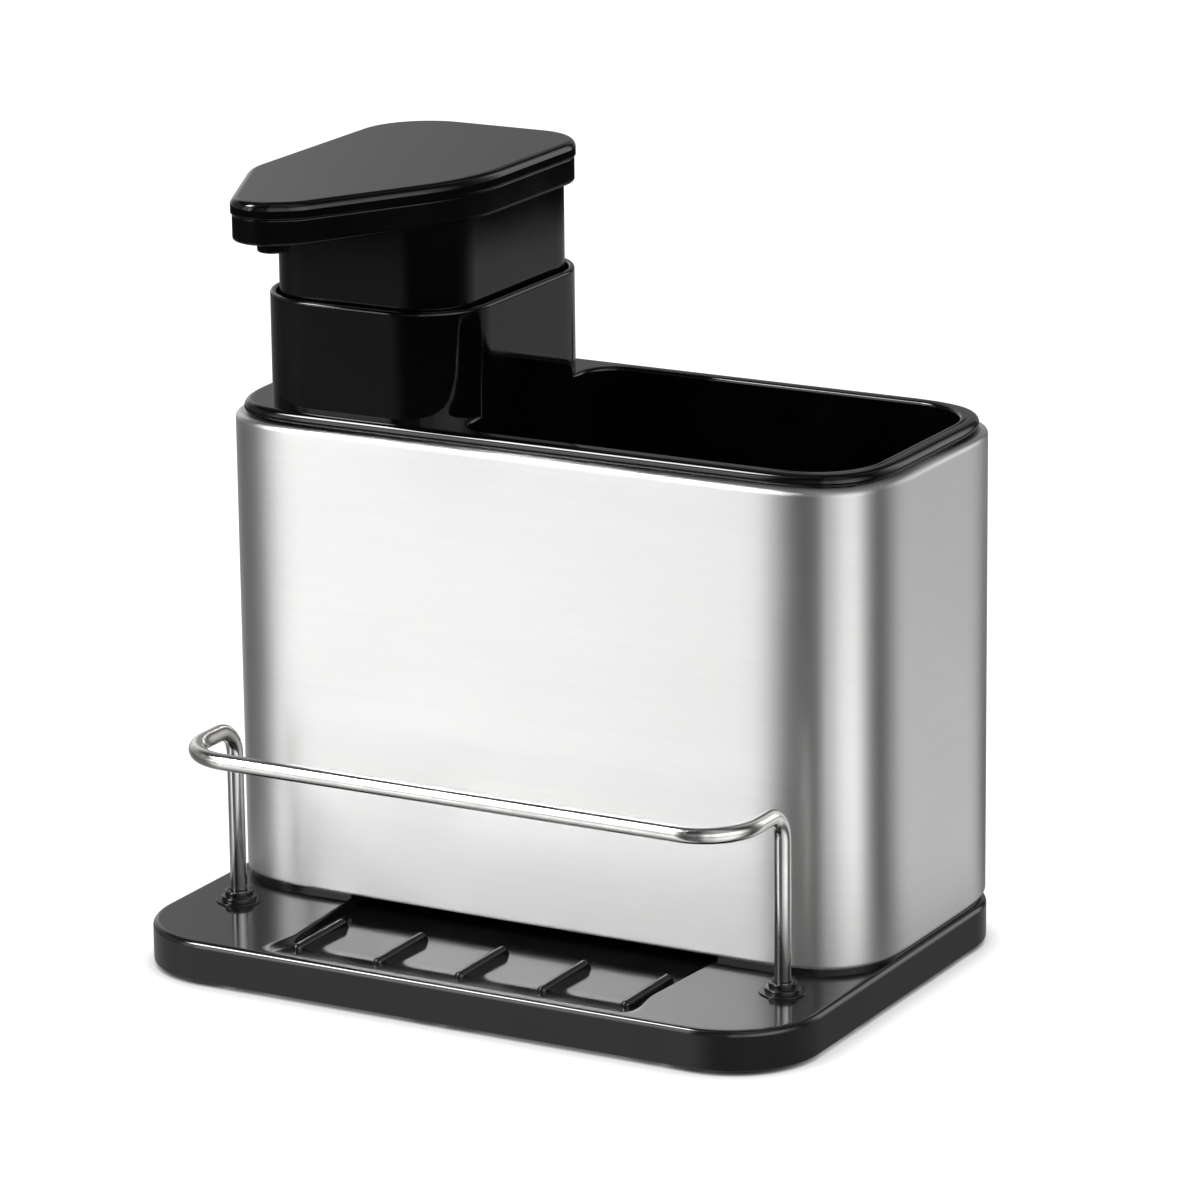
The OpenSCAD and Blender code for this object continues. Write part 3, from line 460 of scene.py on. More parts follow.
def stitch(work):
    """Splits open edges where they run past corners of other faces, and joins the two sides."""
    for _ in range(STITCHES):
        loose = [e for e in work.edges if e.is_boundary]
        corners = [v for e in loose for v in e.verts]
        cuts = [(edge, passed(edge, corners)) for edge in loose]
        cuts = [(edge, share) for edge, share in cuts if share is not None]
        if not cuts:
            return
        for edge, share in cuts:
            bmesh.utils.edge_split(edge, edge.verts[0], share)
        bmesh.ops.remove_doubles(work, verts=work.verts, dist=WELD)


def welded(mesh):
    """The mesh with its doubles merged, smooth but for its sharp edges."""
    work = bmesh.new()
    work.from_mesh(mesh)
    bmesh.ops.remove_doubles(work, verts=work.verts, dist=WELD)
    bmesh.ops.dissolve_degenerate(work, edges=work.edges, dist=WELD)
    stitch(work)
    bmesh.ops.recalc_face_normals(work, faces=work.faces)
    open_edges = sum(1 for e in work.edges if not e.is_manifold)
    if open_edges:
        print("open edges in", mesh.name, open_edges)
    work.to_mesh(mesh)
    work.free()
    mesh.polygons.foreach_set("use_smooth", [True]*len(mesh.polygons))
    mesh.set_sharp_from_angle(angle=SHARP)
    return mesh


def linked(name, data):
    """An object with this data, in the scene."""
    made = bpy.data.objects.new(name, data)
    bpy.context.scene.collection.objects.link(made)
    return made


def plain_mesh(obj, name):
    """The mesh of an object after its modifiers. The object goes."""
    view = bpy.context.evaluated_depsgraph_get()
    made = bpy.data.meshes.new_from_object(obj.evaluated_get(view))
    made.name = name
    bpy.data.objects.remove(obj)
    return made


def joined(name, base, plus=(), minus=()):
    """The solid left when the plus skins are added to a base and the minus skins are cut away."""
    made = linked(name, base.mesh(name))
    tools = []
    for step, skins in (("UNION", plus), ("DIFFERENCE", minus)):
        for skin in skins:
            tool = linked(name + "_tool", skin.mesh(name + "_tool"))
            change = made.modifiers.new("cut", "BOOLEAN")
            change.operation = step
            change.solver = "EXACT"
            change.object = tool
            tools.append(tool)
    mesh = plain_mesh(made, name)
    for tool in tools:
        bpy.data.objects.remove(tool)
    return welded(mesh)


def dress(name, made, finish_name, body, slot, *stands_for):
    """Puts a finished mesh or skin in the scene as a piece that rides on a body."""
    mesh = made.mesh(name) if isinstance(made, Skin) else made
    obj = linked(name, mesh)
    mesh.name = name
    mesh.materials.clear()
    mesh.materials.append(FINISHES[finish_name])
    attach(obj, body)
    if stands_for:
        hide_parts(*stands_for)


# Node trees

class Graph:
    """Short ways to add nodes to a tree and join them."""

    def __init__(self, tree):
        self.tree = tree

    def put(self, value, socket):
        if isinstance(value, bpy.types.NodeSocket):
            self.tree.links.new(value, socket)
        elif value is not None:
            socket.default_value = value

    def add(self, kind, inputs=None, **settings):
        node = self.tree.nodes.new(kind)
        for name, value in settings.items():
            setattr(node, name, value)
        for key, value in (inputs or {}).items():
            self.put(value, node.inputs[key])
        return node

    def math(self, operation, *values):
        return self.add("ShaderNodeMath", dict(enumerate(values)), operation=operation).outputs[0]

    def mix(self, factor, a, b):
        """A colour between a and b."""
        return self.add("ShaderNodeMix", {0: factor, 6: a, 7: b}, data_type="RGBA").outputs[2]

    def blend(self, share, a, b):
        """A number between a and b."""
        return self.add("ShaderNodeMix", {0: share, 2: a, 3: b}).outputs[0]

    def between(self, value, low, high):
        """A value from 0 to 1 turned into one from low to high."""
        return self.add("ShaderNodeMapRange", {"Value": value, "To Min": low, "To Max": high}).outputs[0]

    def smooth(self, value, start, end):
        """A soft step from 0 to 1 as a value goes from start to end."""
        return self.add("ShaderNodeMapRange", {"Value": value, "From Min": start, "From Max": end},
                        interpolation_type="SMOOTHSTEP").outputs[0]


def group(name, kind, inputs, outputs):
    """An empty node group with its sockets: (graph, the input node, the output node)."""
    tree = bpy.data.node_groups.new(name, kind)
    for socket, sort, value in inputs:
        made = tree.interface.new_socket(name=socket, in_out="INPUT", socket_type=sort)
        if value is not None:
            made.default_value = value
    for socket, sort in outputs:
        tree.interface.new_socket(name=socket, in_out="OUTPUT", socket_type=sort)
    graph = Graph(tree)
    return graph, graph.add("NodeGroupInput"), graph.add("NodeGroupOutput")


def copies_group(name, *inputs):
    """A geometry group with the sockets that every tree of copies has, and its own."""
    return group(name, "GeometryNodeTree", [
        ("Geometry", "NodeSocketGeometry", None),
        ("Piece", "NodeSocketObject", None),
        *inputs,
        ("Material", "NodeSocketMaterial", None)], [("Geometry", "NodeSocketGeometry")])


def place_copies(graph, given, made, points, turns=None):
    """Sets the piece on each point as plain mesh with its material, and ends the tree."""
    piece = graph.add("GeometryNodeObjectInfo", {"Object": given.outputs["Piece"]})
    copies = graph.add("GeometryNodeInstanceOnPoints", {
        "Points": points, "Instance": piece.outputs["Geometry"], "Rotation": turns})
    plain = graph.add("GeometryNodeRealizeInstances", {"Geometry": copies.outputs[0]})
    dyed = graph.add("GeometryNodeSetMaterial", {
        "Geometry": plain.outputs[0], "Material": given.outputs["Material"]})
    graph.put(dyed.outputs[0], made.inputs[0])
    return graph.tree


def copies_tree():
    """Geometry nodes that set a piece out in columns and rows."""
    graph, given, made = copies_group(
        "rows_of_copies", ("Start", "NodeSocketVector", (0, 0, 0)), ("Columns", "NodeSocketInt", 1),
        ("Column Step", "NodeSocketVector", (0, 0, 0)), ("Rows", "NodeSocketInt", 1),
        ("Row Step", "NodeSocketVector", (0, 0, 0)))
    row = graph.add("GeometryNodeMeshLine", {
        "Count": given.outputs["Columns"], "Start Location": given.outputs["Start"],
        "Offset": given.outputs["Column Step"]})
    column = graph.add("GeometryNodeMeshLine", {
        "Count": given.outputs["Rows"], "Offset": given.outputs["Row Step"]})
    rows = graph.add("GeometryNodeInstanceOnPoints", {
        "Points": column.outputs[0], "Instance": row.outputs[0]})
    places = graph.add("GeometryNodeRealizeInstances", {"Geometry": rows.outputs[0]})
    return place_copies(graph, given, made, places.outputs[0])


def ring_tree():
    """Geometry nodes that set a piece out round the Z axis, each copy turned with its place."""
    graph, given, made = copies_group(
        "ring_of_copies", ("Centre", "NodeSocketVector", (0, 0, 0)), ("Count", "NodeSocketInt", 12))
    spots = graph.add("GeometryNodeMeshLine", {
        "Count": given.outputs["Count"], "Start Location": given.outputs["Centre"], "Offset": (0, 0, 0)})
    index = graph.add("GeometryNodeInputIndex").outputs[0]
    turn = graph.math("DIVIDE", graph.math("MULTIPLY", index, math.tau), given.outputs["Count"])
    angles = graph.add("ShaderNodeCombineXYZ", {"Z": turn})
    return place_copies(graph, given, made, spots.outputs[0], angles.outputs[0])


COPIES = copies_tree()
RING = ring_tree()


def grown(name, tree, unit, finish_name, **inputs):
    """The mesh that a tree makes of copies of a skin. Input names have spaces for underscores."""
    piece = linked(name + "_unit", unit.mesh(name + "_unit"))
    host = linked(name, bpy.data.meshes.new(name))
    change = host.modifiers.new("copies", "NODES")
    change.node_group = tree
    values = {"Piece": piece, "Material": FINISHES[finish_name]}
    values.update({key.replace("_", " "): value for key, value in inputs.items()})
    for socket in tree.interface.items_tree:
        if socket.in_out == "INPUT" and socket.name in values:
            change[socket.identifier] = values[socket.name]
    mesh = plain_mesh(host, name)
    bpy.data.objects.remove(piece)
    return welded(mesh)


# Shader groups

def marks_group():
    """Faint uneven patches, as handling leaves on a smooth face: a mask from 0 to 1."""
    graph, given, made = group("handling_marks", "ShaderNodeTree", [
        ("Size", "NodeSocketFloat", 0.02), ("Hardness", "NodeSocketFloat", 0.5)],
        [("Mask", "NodeSocketFloat")])
    place = graph.add("ShaderNodeTexCoord").outputs["Object"]
    scale = graph.math("DIVIDE", 1.0, given.outputs["Size"])
    broad = graph.add("ShaderNodeTexNoise", {
        "Vector": place, "Scale": scale, "Detail": 4.0, "Roughness": 0.55, "Distortion": 0.6})
    edge = graph.math("MULTIPLY", given.outputs["Hardness"], 0.35)
    mask = graph.add("ShaderNodeMapRange", {
        "Value": broad.outputs["Fac"], "From Min": graph.math("ADD", 0.25, edge),
        "From Max": graph.math("SUBTRACT", 0.75, edge)})
    graph.put(mask.outputs[0], made.inputs["Mask"])
    return graph.tree


def skin_group():
    """The fine unevenness of a moulded or rolled surface: a height from 0 to 1."""
    graph, given, made = group("moulded_skin", "ShaderNodeTree", [
        ("Size", "NodeSocketFloat", 0.001), ("Fine Share", "NodeSocketFloat", 0.3)],
        [("Height", "NodeSocketFloat")])
    place = graph.add("ShaderNodeTexCoord").outputs["Object"]
    scale = graph.math("DIVIDE", 1.0, given.outputs["Size"])
    broad = graph.add("ShaderNodeTexNoise", {"Vector": place, "Scale": scale, "Detail": 1.0})
    fine = graph.add("ShaderNodeTexNoise", {
        "Vector": place, "Scale": graph.math("MULTIPLY", scale, 6.0), "Detail": 2.0})
    share = graph.math("MULTIPLY", fine.outputs["Fac"], given.outputs["Fine Share"])
    graph.put(graph.math("ADD", broad.outputs["Fac"], share), made.inputs["Height"])
    return graph.tree


def brush_group():
    """Lines left by a level brush: heights and masks drawn out sideways."""
    graph, given, made = group("brushed_lines", "ShaderNodeTree", [
        ("Line Height", "NodeSocketFloat", 0.0002), ("Line Length", "NodeSocketFloat", 0.03)],
        [("Height", "NodeSocketFloat"), ("Mask", "NodeSocketFloat"), ("Streaks", "NodeSocketFloat")])
    place = graph.add("ShaderNodeTexCoord").outputs["Object"]
    along = graph.math("DIVIDE", 1.0, given.outputs["Line Length"])
    across = graph.math("DIVIDE", 1.0, given.outputs["Line Height"])
    # for each output: shares of the line's length and height, and the detail
    for output, length_share, height_share, detail in (
            ("Height", 1.0, 1.0, 3.0), ("Mask", 0.6, 0.35, 4.0), ("Streaks", 0.3, 0.06, 2.0)):
        level = graph.math("MULTIPLY", along, length_share)
        scale = graph.add("ShaderNodeCombineXYZ", {
            "X": level, "Y": level, "Z": graph.math("MULTIPLY", across, height_share)})
        drawn = graph.add("ShaderNodeVectorMath", {0: place, 1: scale.outputs[0]}, operation="MULTIPLY")
        lines = graph.add("ShaderNodeTexNoise", {
            "Vector": drawn.outputs[0], "Scale": 1.0, "Detail": detail, "Roughness": 0.6})
        graph.put(lines.outputs["Fac"], made.inputs[output])
    return graph.tree


HANDLING_MARKS = marks_group()
MOULDED_SKIN = skin_group()
BRUSHED_LINES = brush_group()


# Materials

def finish(name, **values):
    """A material with its Principled shader's own values set: (material, graph, shader)."""
    made = bpy.data.materials.new(name)
    made.use_nodes = True
    shader = made.node_tree.nodes["Principled BSDF"]
    for key, value in values.items():
        shader.inputs[key.replace("_", " ")].default_value = value
    return made, Graph(made.node_tree), shader


def placed(graph, tree, **values):
    """A group placed in a material with its own values."""
    node = graph.add("ShaderNodeGroup", node_tree=tree)
    for key, value in values.items():
        node.inputs[key.replace("_", " ")].default_value = value
    return node


def bump(graph, shader, height, strength, distance):
    node = graph.add("ShaderNodeBump", {"Height": height, "Strength": strength, "Distance": distance})
    graph.put(node.outputs[0], shader.inputs["Normal"])


def grey(level):
    return (level, level, level, 1)


def uneven(name, colours, rough, marks, skin, **values):
    """A surface a little uneven in colour, gloss and form.

    The pairs of colours and of roughness are for bare and for marked places. The marks are given
    by their size and hardness, and the skin by its size, strength and depth.
    """
    made, graph, shader = finish(name, **values)
    mask = placed(graph, HANDLING_MARKS, Size=marks[0], Hardness=marks[1]).outputs[0]
    height = placed(graph, MOULDED_SKIN, Size=skin[0]).outputs[0]
    graph.put(graph.mix(mask, *colours), shader.inputs["Base Color"])
    graph.put(graph.between(mask, *rough), shader.inputs["Roughness"])
    bump(graph, shader, height, *skin[1:])
    return made


# Handling marks: size and hardness
PLASTIC_MARKS = (0.03, 0.4)
METAL_MARKS = (0.008, 0.3)
BOTTLE_MARKS = (0.02, 0.3)


def tray_black():
    """Glossy moulded black with a trace of wiping."""
    return uneven("tray_black", colours=(grey(0.006), grey(0.008)),
                  rough=(0.1, 0.13), marks=PLASTIC_MARKS, skin=(0.004, 0.4, 0.00001),
                  Specular_IOR_Level=0.75)


def insert_black():
    """The deepest gloss, on the insert and the head's cover."""
    return uneven("insert_black", colours=(grey(0.001), grey(0.002)),
                  rough=(0.05, 0.08), marks=PLASTIC_MARKS, skin=(0.005, 0.4, 0.00001),
                  Specular_IOR_Level=0.5)


def black_satin():
    """Satin black of the head's skirt, the nozzle and the closure."""
    return uneven("black_satin", colours=(grey(0.001), grey(0.002)),
                  rough=(0.11, 0.15), marks=PLASTIC_MARKS, skin=(0.0008, 0.4, 0.00001),
                  Specular_IOR_Level=0.32)


def black_rubber():
    """Smooth rubber of the feet, grommets and seal."""
    return uneven("black_rubber", colours=(grey(0.004), grey(0.007)),
                  rough=(0.14, 0.22), marks=PLASTIC_MARKS, skin=(0.0006, 0.4, 0.00003),
                  Specular_IOR_Level=0.5)


def white_plastic():
    """Plain white moulding of the pump's inner pieces."""
    return uneven("white_plastic", colours=((0.8, 0.8, 0.78, 1), (0.74, 0.74, 0.72, 1)),
                  rough=(0.3, 0.4), marks=PLASTIC_MARKS, skin=(0.001, 0.4, 0.00002),
                  Specular_IOR_Level=0.5)


def natural_plastic():
    """Unpigmented polypropylene: milky and half clear."""
    return uneven("natural_plastic", colours=((0.86, 0.89, 0.88, 1), (0.78, 0.82, 0.81, 1)),
                  rough=(0.3, 0.42), marks=BOTTLE_MARKS, skin=(0.002, 0.4, 0.00004),
                  Transmission_Weight=0.75, IOR=1.45)


def polished_steel():
    """Polished stainless wire."""
    return uneven("polished_steel", colours=((0.84, 0.83, 0.81, 1), (0.78, 0.77, 0.755, 1)),
                  rough=(0.16, 0.22), marks=METAL_MARKS, skin=(0.003, 0.3, 0.000005),
                  Metallic=1.0)


def plain_steel():
    """Drawn or stamped steel as it comes: spring, ball, screws and push nuts."""
    return uneven("plain_steel", colours=((0.72, 0.72, 0.71, 1), (0.6, 0.6, 0.59, 1)),
                  rough=(0.22, 0.34), marks=METAL_MARKS, skin=(0.0008, 0.3, 0.00001),
                  Metallic=1.0)


def brushed_steel():
    """Stainless sheet brushed round the body: long level lines that spread highlights upward."""
    made, graph, shader = finish("brushed_steel", Metallic=1.0, Anisotropic=0.85, Anisotropic_Rotation=0.25)
    lines = placed(graph, BRUSHED_LINES, Line_Height=0.00012, Line_Length=0.016)
    marks = placed(graph, HANDLING_MARKS, Size=0.045, Hardness=0.2).outputs[0]
    pale, deep = (0.84, 0.835, 0.83, 1), (0.79, 0.782, 0.775, 1)
    tone = graph.math("MULTIPLY_ADD", lines.outputs["Mask"], 0.6,
                      graph.math("MULTIPLY", lines.outputs["Streaks"], 0.4))
    graph.put(graph.mix(graph.between(tone, -0.2, 1.1), pale, deep), shader.inputs["Base Color"])
    rough = graph.math("MULTIPLY_ADD", lines.outputs["Mask"], 0.08, graph.between(marks, 0.36, 0.4))
    graph.put(rough, shader.inputs["Roughness"])
    tangent = graph.add("ShaderNodeTangent", direction_type="RADIAL", axis="Z")
    graph.put(tangent.outputs[0], shader.inputs["Tangent"])
    bump(graph, shader, lines.outputs["Height"], 0.1, 0.00001)
    return made


FINISHES = {made.__name__: made() for made in (
    tray_black, insert_black, black_satin, black_rubber, white_plastic, brushed_steel, polished_steel,
    plain_steel, natural_plastic)}
SLOT_FINISH = {"black_gloss": "insert_black"}


def dress_solids():
    """Gives every solid of the frame the finish of its slot."""
    for part in frame["record"]["subparts"]:
        slot = part["material_slot"]
        for place in frame["nodes"][part["node"]].material_slots:
            place.material = FINISHES[SLOT_FINISH.get(slot, slot)]


# The tray

sleeve_plan = box_plan(sleeve_low, sleeve_high, SLEEVE_R)
recess_front = tray_low.y + RECESS_MARGIN
sump_front = sleeve_low.y + SUMP_INSET
sump_back = sleeve_high.y - SUMP_INSET
sump_half = sleeve_high.x - SUMP_INSET
sump_r = SLEEVE_R - SUMP_INSET
post_x = (grommet_high.x - grommet_low.x)/2 - (grommet_high.y - grommet_low.y)/2
post_y = (grommet_low.y + grommet_high.y)/2
foot_x = feet_high.x - FOOT_R
foot_back_y = feet_high.y - FOOT_R
foot_front_y = feet_low.y + FOOT_R


def ramp(t):
    """A straight slope from 0 to 1 whose ends are rounded over their shares of its length."""
    t = clamped(t)
    start, end = STEP_START_SHARE, STEP_END_SHARE
    rise = 2/(2 - start - end)
    if t < start:
        return rise*t*t/(2*start)
    if t > 1 - end:
        return 1 - rise*(1 - t)**2/(2*end)
    return rise*(t - start/2)


def recess_depth(y):
    """How far the recess lies below the deck: a soft slope, then a slow fall to the sump."""
    slope_end = recess_front + STEP_SOFT
    fall = clamped((y - slope_end)/(sump_front - slope_end))
    return RECESS_STEP*ramp((y - recess_front)/STEP_SOFT) + RECESS_DROP*fall


def recess_half(y):
    """Half the width of the recess's floor."""
    back_share = (y - recess_front)/(sump_front - recess_front)
    return (RECESS_FRONT_W + (RECESS_BACK_W - RECESS_FRONT_W)*back_share)/2


def side_slope(y):
    """Length of the recess's side slope: long and round-ended in front, steep further back."""
    short = max(RECESS_TAIL_R - (y - recess_front), 0.0)
    tail = math.sqrt(max(RECESS_TAIL_R**2 - short**2, 0.0))/RECESS_TAIL_R
    return SIDE_SOFT + (TAIL_SOFT - SIDE_SOFT)*tail*(1 - ease((y - recess_front)/STEP_SOFT))


def pocket_rows(grow):
    """The recess and the sump as rows (y, half width, side slope, depth) from front to back."""
    ys = [recess_front - HOLD] + [recess_front + STEP_SOFT*t for t in shares(STEP_ROWS)]
    ys += [recess_front + STEP_SOFT + HOLD, sump_front - grow - HOLD, sump_front - grow]
    rows = [(y, recess_half(max(y, recess_front)) + grow, side_slope(max(y, recess_front)),
             recess_depth(y)) for y in ys]
    depth = deck_z - sump_z
    r = sump_r + grow
    half = sump_half + grow
    turns = [math.pi/2*t for t in shares(SUMP_STEPS)]
    for side, centre_y, order in ((-1, sump_front + sump_r, turns), (1, sump_back - sump_r, turns[::-1])):
        rows += [(centre_y + side*r*math.cos(turn), half - r + r*math.sin(turn), SIDE_SOFT, depth)
                 for turn in order]
    rows += [(sump_back + grow + behind, rows[-1][1], SIDE_SOFT, 0.0) for behind in (0, HOLD)]
    return rows


def pocket_row(y, half, slope, depth, level):
    """One row across the pocket: deck, soft side, floor, soft side, deck."""
    side = [(-HOLD, 0.0), *((slope*t, ease(t)) for t in shares(SIDE_STEPS)), (slope + HOLD, 1.0)]
    left = [(-half - slope + out, y, level - depth*share) for out, share in side]
    return left + [(-x, y, z) for x, y, z in reversed(left)]


def pocket(skin, edge, level, grow, facing):
    """A level face inside an edge ring with the recess and the sump sunk into it."""
    rows = [skin.ring(pocket_row(*row, level)) for row in pocket_rows(grow)]
    for pair in zip(rows, rows[1:]):
        skin.band(*(pair if facing.z > 0 else pair[::-1]), closed=False)
    mouth = rows[0] + [r[-1] for r in rows[1:-1]] + rows[-1][::-1] + [r[0] for r in rows[-2:0:-1]]
    skin.fill([edge, mouth], facing)


def tray_shell():
    """Skirt, deck, recess and sump. The underside follows them, a deck's thickness lower."""
    skin = Skin()
    first, last = skin.loft(rings(box_plan(tray_low, tray_high, TRAY_R, steps=24), bent([
        (DECK_RIM, under_z), (TRAY_WALL, under_z, BROAD_R), (TRAY_WALL, FOOT_PROUD, TRAY_LIP_R),
        (0, FOOT_PROUD, FULL_R), (0, deck_z, TRAY_EDGE_R), (DECK_RIM, deck_z)], steps=12)))
    pocket(skin, last, deck_z, 0, UP)
    pocket(skin, first, under_z, DECK_T, DOWN)
    return skin


def box_skin(low, high):
    corners = [(low[0], low[1]), (high[0], low[1]), (high[0], high[1]), (low[0], high[1])]
    return Skin().solid([[(x, y, z) for x, y in corners] for z in (low[2], high[2])])


def turned(x, y, path, steps=48, around=False):
    """A turned solid from a path of (radius, z, bend)."""
    skin = Skin()
    sections = rings(disc(x, y, steps), [(-r, z) for r, z in bent(path, closed=around)])
    if around:
        skin.loft(sections, around=True)
        return skin
    return skin.solid(sections)


def locator_wall():
    """The shoulder under the sleeve and the wall inside it, open over the recess."""
    half = recess_half(sleeve_low.y) + SIDE_SOFT
    root_z = deck_z - DECK_T/2
    paths = []
    for inset, z in bent([
            (SHOULDER_INSET, root_z, HAIR_R), (SHOULDER_INSET, sleeve_low.z, FINE_R),
            (LOCATOR_INSET, sleeve_low.z, FINE_R), (LOCATOR_INSET, tray_high.z, EASY_R),
            (SUMP_INSET, tray_high.z, EASY_R), (SUMP_INSET, root_z, HAIR_R)], closed=True, steps=3):
        front = sleeve_low.y + inset
        plan = [Vector((half, front))] + sleeve_plan(inset) + [Vector((-half, front))]
        paths.append([(p.x, p.y, z) for p in plan])
    return Skin().solid([list(section) for section in zip(*paths)])


def foot_bosses():
    """The rings under the deck that hold the rubber feet."""
    outer_r = FOOT_R + FOOT_BOSS_T
    inner_r = FOOT_R + FOOT_PLAY
    top = under_z + DECK_T/4
    path = [(outer_r, FOOT_PROUD, SOFT_R), (outer_r, top, HAIR_R), (inner_r, top, HAIR_R),
            (inner_r, FOOT_PROUD, SOFT_R)]
    return [turned(side*foot_x, y, path, around=True)
            for side in (-1, 1) for y in (foot_front_y, foot_back_y)]


def cross_web(along, place, reach, low_from, low_to):
    """A web under the deck, along x or y, that keeps below the recess or the sump on its way."""
    webs = []
    spans = ((-reach, low_from - DECK_T, under_z), (low_to + DECK_T, reach, under_z),
             (max(low_from - 2*DECK_T, -reach), min(low_to + 2*DECK_T, reach), sump_z - DECK_T))
    for start, end, high in spans:
        if end - start < WEB_T:
            continue
        a, b = (start, place - WEB_T/2), (end, place + WEB_T/2)
        if along == "y":
            a, b = a[::-1], b[::-1]
        webs.append(box_skin((*a, FOOT_PROUD + WEB_LIFT), (*b, high + DECK_T/4)))
    return webs


def deck_webs():
    """The five webs that stiffen the deck."""
    beside_post = post_x - (nut_high.y - nut_low.y)*WEB_NUTS
    edge_x = tray_high.x - TRAY_WALL/2
    edge_y = tray_high.y - TRAY_WALL/2
    webs = cross_web("y", 0, edge_y, recess_front, sump_back)
    for x in (-beside_post, beside_post):
        webs += cross_web("y", x, edge_y, sump_front, sump_back)
    webs += cross_web("x", sleeve_low.y, edge_x, -RECESS_BACK_W/2, RECESS_BACK_W/2)
    webs += cross_web("x", sleeve_y, edge_x, -sump_half, sump_half)
    return webs


def flange_clip(x, y, turn):
    """A wedge on the outside of the locator wall that holds the sleeve's foot down."""
    z = sleeve_low.z + CLIP_LIFT
    profile = bent([(-LOCATOR_INSET/4, z, FINE_R), (CLIP_REACH, z, SOFT_R), (0, z + CLIP_H, FINE_R),
                    (-LOCATOR_INSET/4, z + CLIP_H, FINE_R)], closed=True, steps=3)
    spin = Matrix.Rotation(math.radians(turn), 2)
    sections = []
    for along in (-CLIP_W/2, CLIP_W/2):
        flat = [(spin @ Vector((along, -out)), height) for out, height in profile]
        sections.append([(x + p.x, y + p.y, height) for p, height in flat])
    return Skin().solid(sections)


def flange_clips():
    """Two clips at the back, one on each side and two in front."""
    side_x = sleeve_high.x - LOCATOR_INSET
    front_x = (RECESS_BACK_W/2 + sleeve_high.x - SLEEVE_R)/2
    clips = [flange_clip(side*BACK_CLIP_X, sleeve_high.y - LOCATOR_INSET, 180) for side in (-1, 1)]
    clips += [flange_clip(side*side_x, sleeve_y, 90*side) for side in (-1, 1)]
    clips += [flange_clip(side*front_x, sleeve_low.y + LOCATOR_INSET, 0) for side in (-1, 1)]
    return clips


def make_tray():
    whole = Skin()
    for part in (tray_shell(), locator_wall(), *foot_bosses(), *deck_webs(), *flange_clips()):
        whole.add(part)
    dress("tray", whole, "tray_black", "root", "black_gloss", "base_tray")


def drip_rib():
    """One rib at x = 0: half round on top, ball-nosed in front, slanted down behind."""
    r = RIB_W/2
    nose_y = tray_low.y + RIB_MARGIN + r
    end_y = sleeve_low.y - RIB_BACK_GAP
    foot_z = sump_z - DECK_T/2
    stations = [(nose_y - r*math.cos(math.pi/2*t), r*math.sin(math.pi/2*t), 0)
                for t in shares(NOSE_STEPS)[1:]]
    stations += [(nose_y + HOLD, r, 0), (end_y - 2*HOLD, r, 0)]
    stations += [(end_y + RIB_TAIL*t, r*(1 - RIB_TAPER_SHARE*t**2), RIB_TAIL*ease(t))
                 for t in shares(TAIL_STEPS)]
    sections = []
    for y, half, drop in stations:
        arc = [(half*math.cos(math.pi*t), y, deck_z - r - drop + half*math.sin(math.pi*t))
               for t in shares(RIB_STEPS)]
        sections.append([(half, y, foot_z)] + arc + [(-half, y, foot_z)])
    return Skin().solid(sections)


def make_ribs():
    pitch = (RECESS_FRONT_W - 2*RIB_SIDE)/(RIB_COUNT - 1)
    ribs = grown("drip_ribs", COPIES, drip_rib(), "tray_black", Start=(-pitch*(RIB_COUNT - 1)/2, 0, 0),
                 Columns=RIB_COUNT, Column_Step=(pitch, 0, 0))
    dress("drip_ribs", ribs, "tray_black", "root", "black_gloss", "base_tray")


def make_feet():
    low, high = feet_low.z, feet_high.z
    foot = turned(0, 0, [(0, low), (FOOT_R, low, FULL_R), (FOOT_R, high, FINE_R), (0, high)])
    feet = grown("feet", COPIES, foot, "black_rubber", Start=(-foot_x, foot_front_y, 0), Columns=2,
                 Column_Step=(2*foot_x, 0, 0), Rows=2, Row_Step=(0, foot_back_y - foot_front_y, 0))
    dress("feet", feet, "black_rubber", "root", "black_rubber", "rubber_feet")


# The sleeve

sheet_plan = eased_plan(sleeve_low, sleeve_high, BEND_R)


def make_sleeve():
    low, high = sleeve_low.z, sleeve_high.z
    edge = SHEET_T*EDGE_SHARE
    skin = Skin()
    skin.loft(rings(sheet_plan, bent([
        (0, low, FOLD_R), (0, high, ROLL_R), (LIP_W, high, edge), (LIP_W, high - SHEET_T, edge),
        (SHEET_T, high - SHEET_T, ROLL_R - SHEET_T), (SHEET_T, low + SHEET_T, FOLD_R - SHEET_T),
        (FLANGE_W, low + SHEET_T, edge), (FLANGE_W, low, edge)], closed=True, steps=8)), around=True)
    dress("sleeve", skin, "brushed_steel", "root", "brushed_steel", "steel_sleeve")


def make_weld_seam():
    """The seam up the sleeve's back, ground nearly flush."""
    back = sleeve_high.y
    outline = [(SEAM_W/2*math.cos(math.pi*t), back + SEAM_PROUD*math.sin(math.pi*t) - SEAM_SINK)
               for t in shares(SEAM_STEPS)]
    outline += [(-SEAM_W/2, back - SHEET_T/2), (SEAM_W/2, back - SHEET_T/2)]
    seam = Skin().solid([[(x, y, z) for x, y in outline]
                         for z in (sleeve_low.z + FOLD_R, sleeve_high.z - ROLL_R)])
    dress("weld_seam", seam, "plain_steel", "root", "brushed_steel")


# The rail

def wire_path(points):
    """The middle line of a wire through points (x, y, z, bend radius)."""
    places = [Vector(point[:3]) for point in points]
    path = [places[0]]
    for before, here, after, point in zip(places, places[1:], places[2:], points[1:]):
        toward = (before - here).normalized()
        onward = (after - here).normalized()
        arc = fillet(here, toward, onward, point[3], WIRE_STEPS)
        path += [arc[0] + toward*HOLD, *arc, arc[-1] + onward*HOLD]
    return path + [places[-1]]


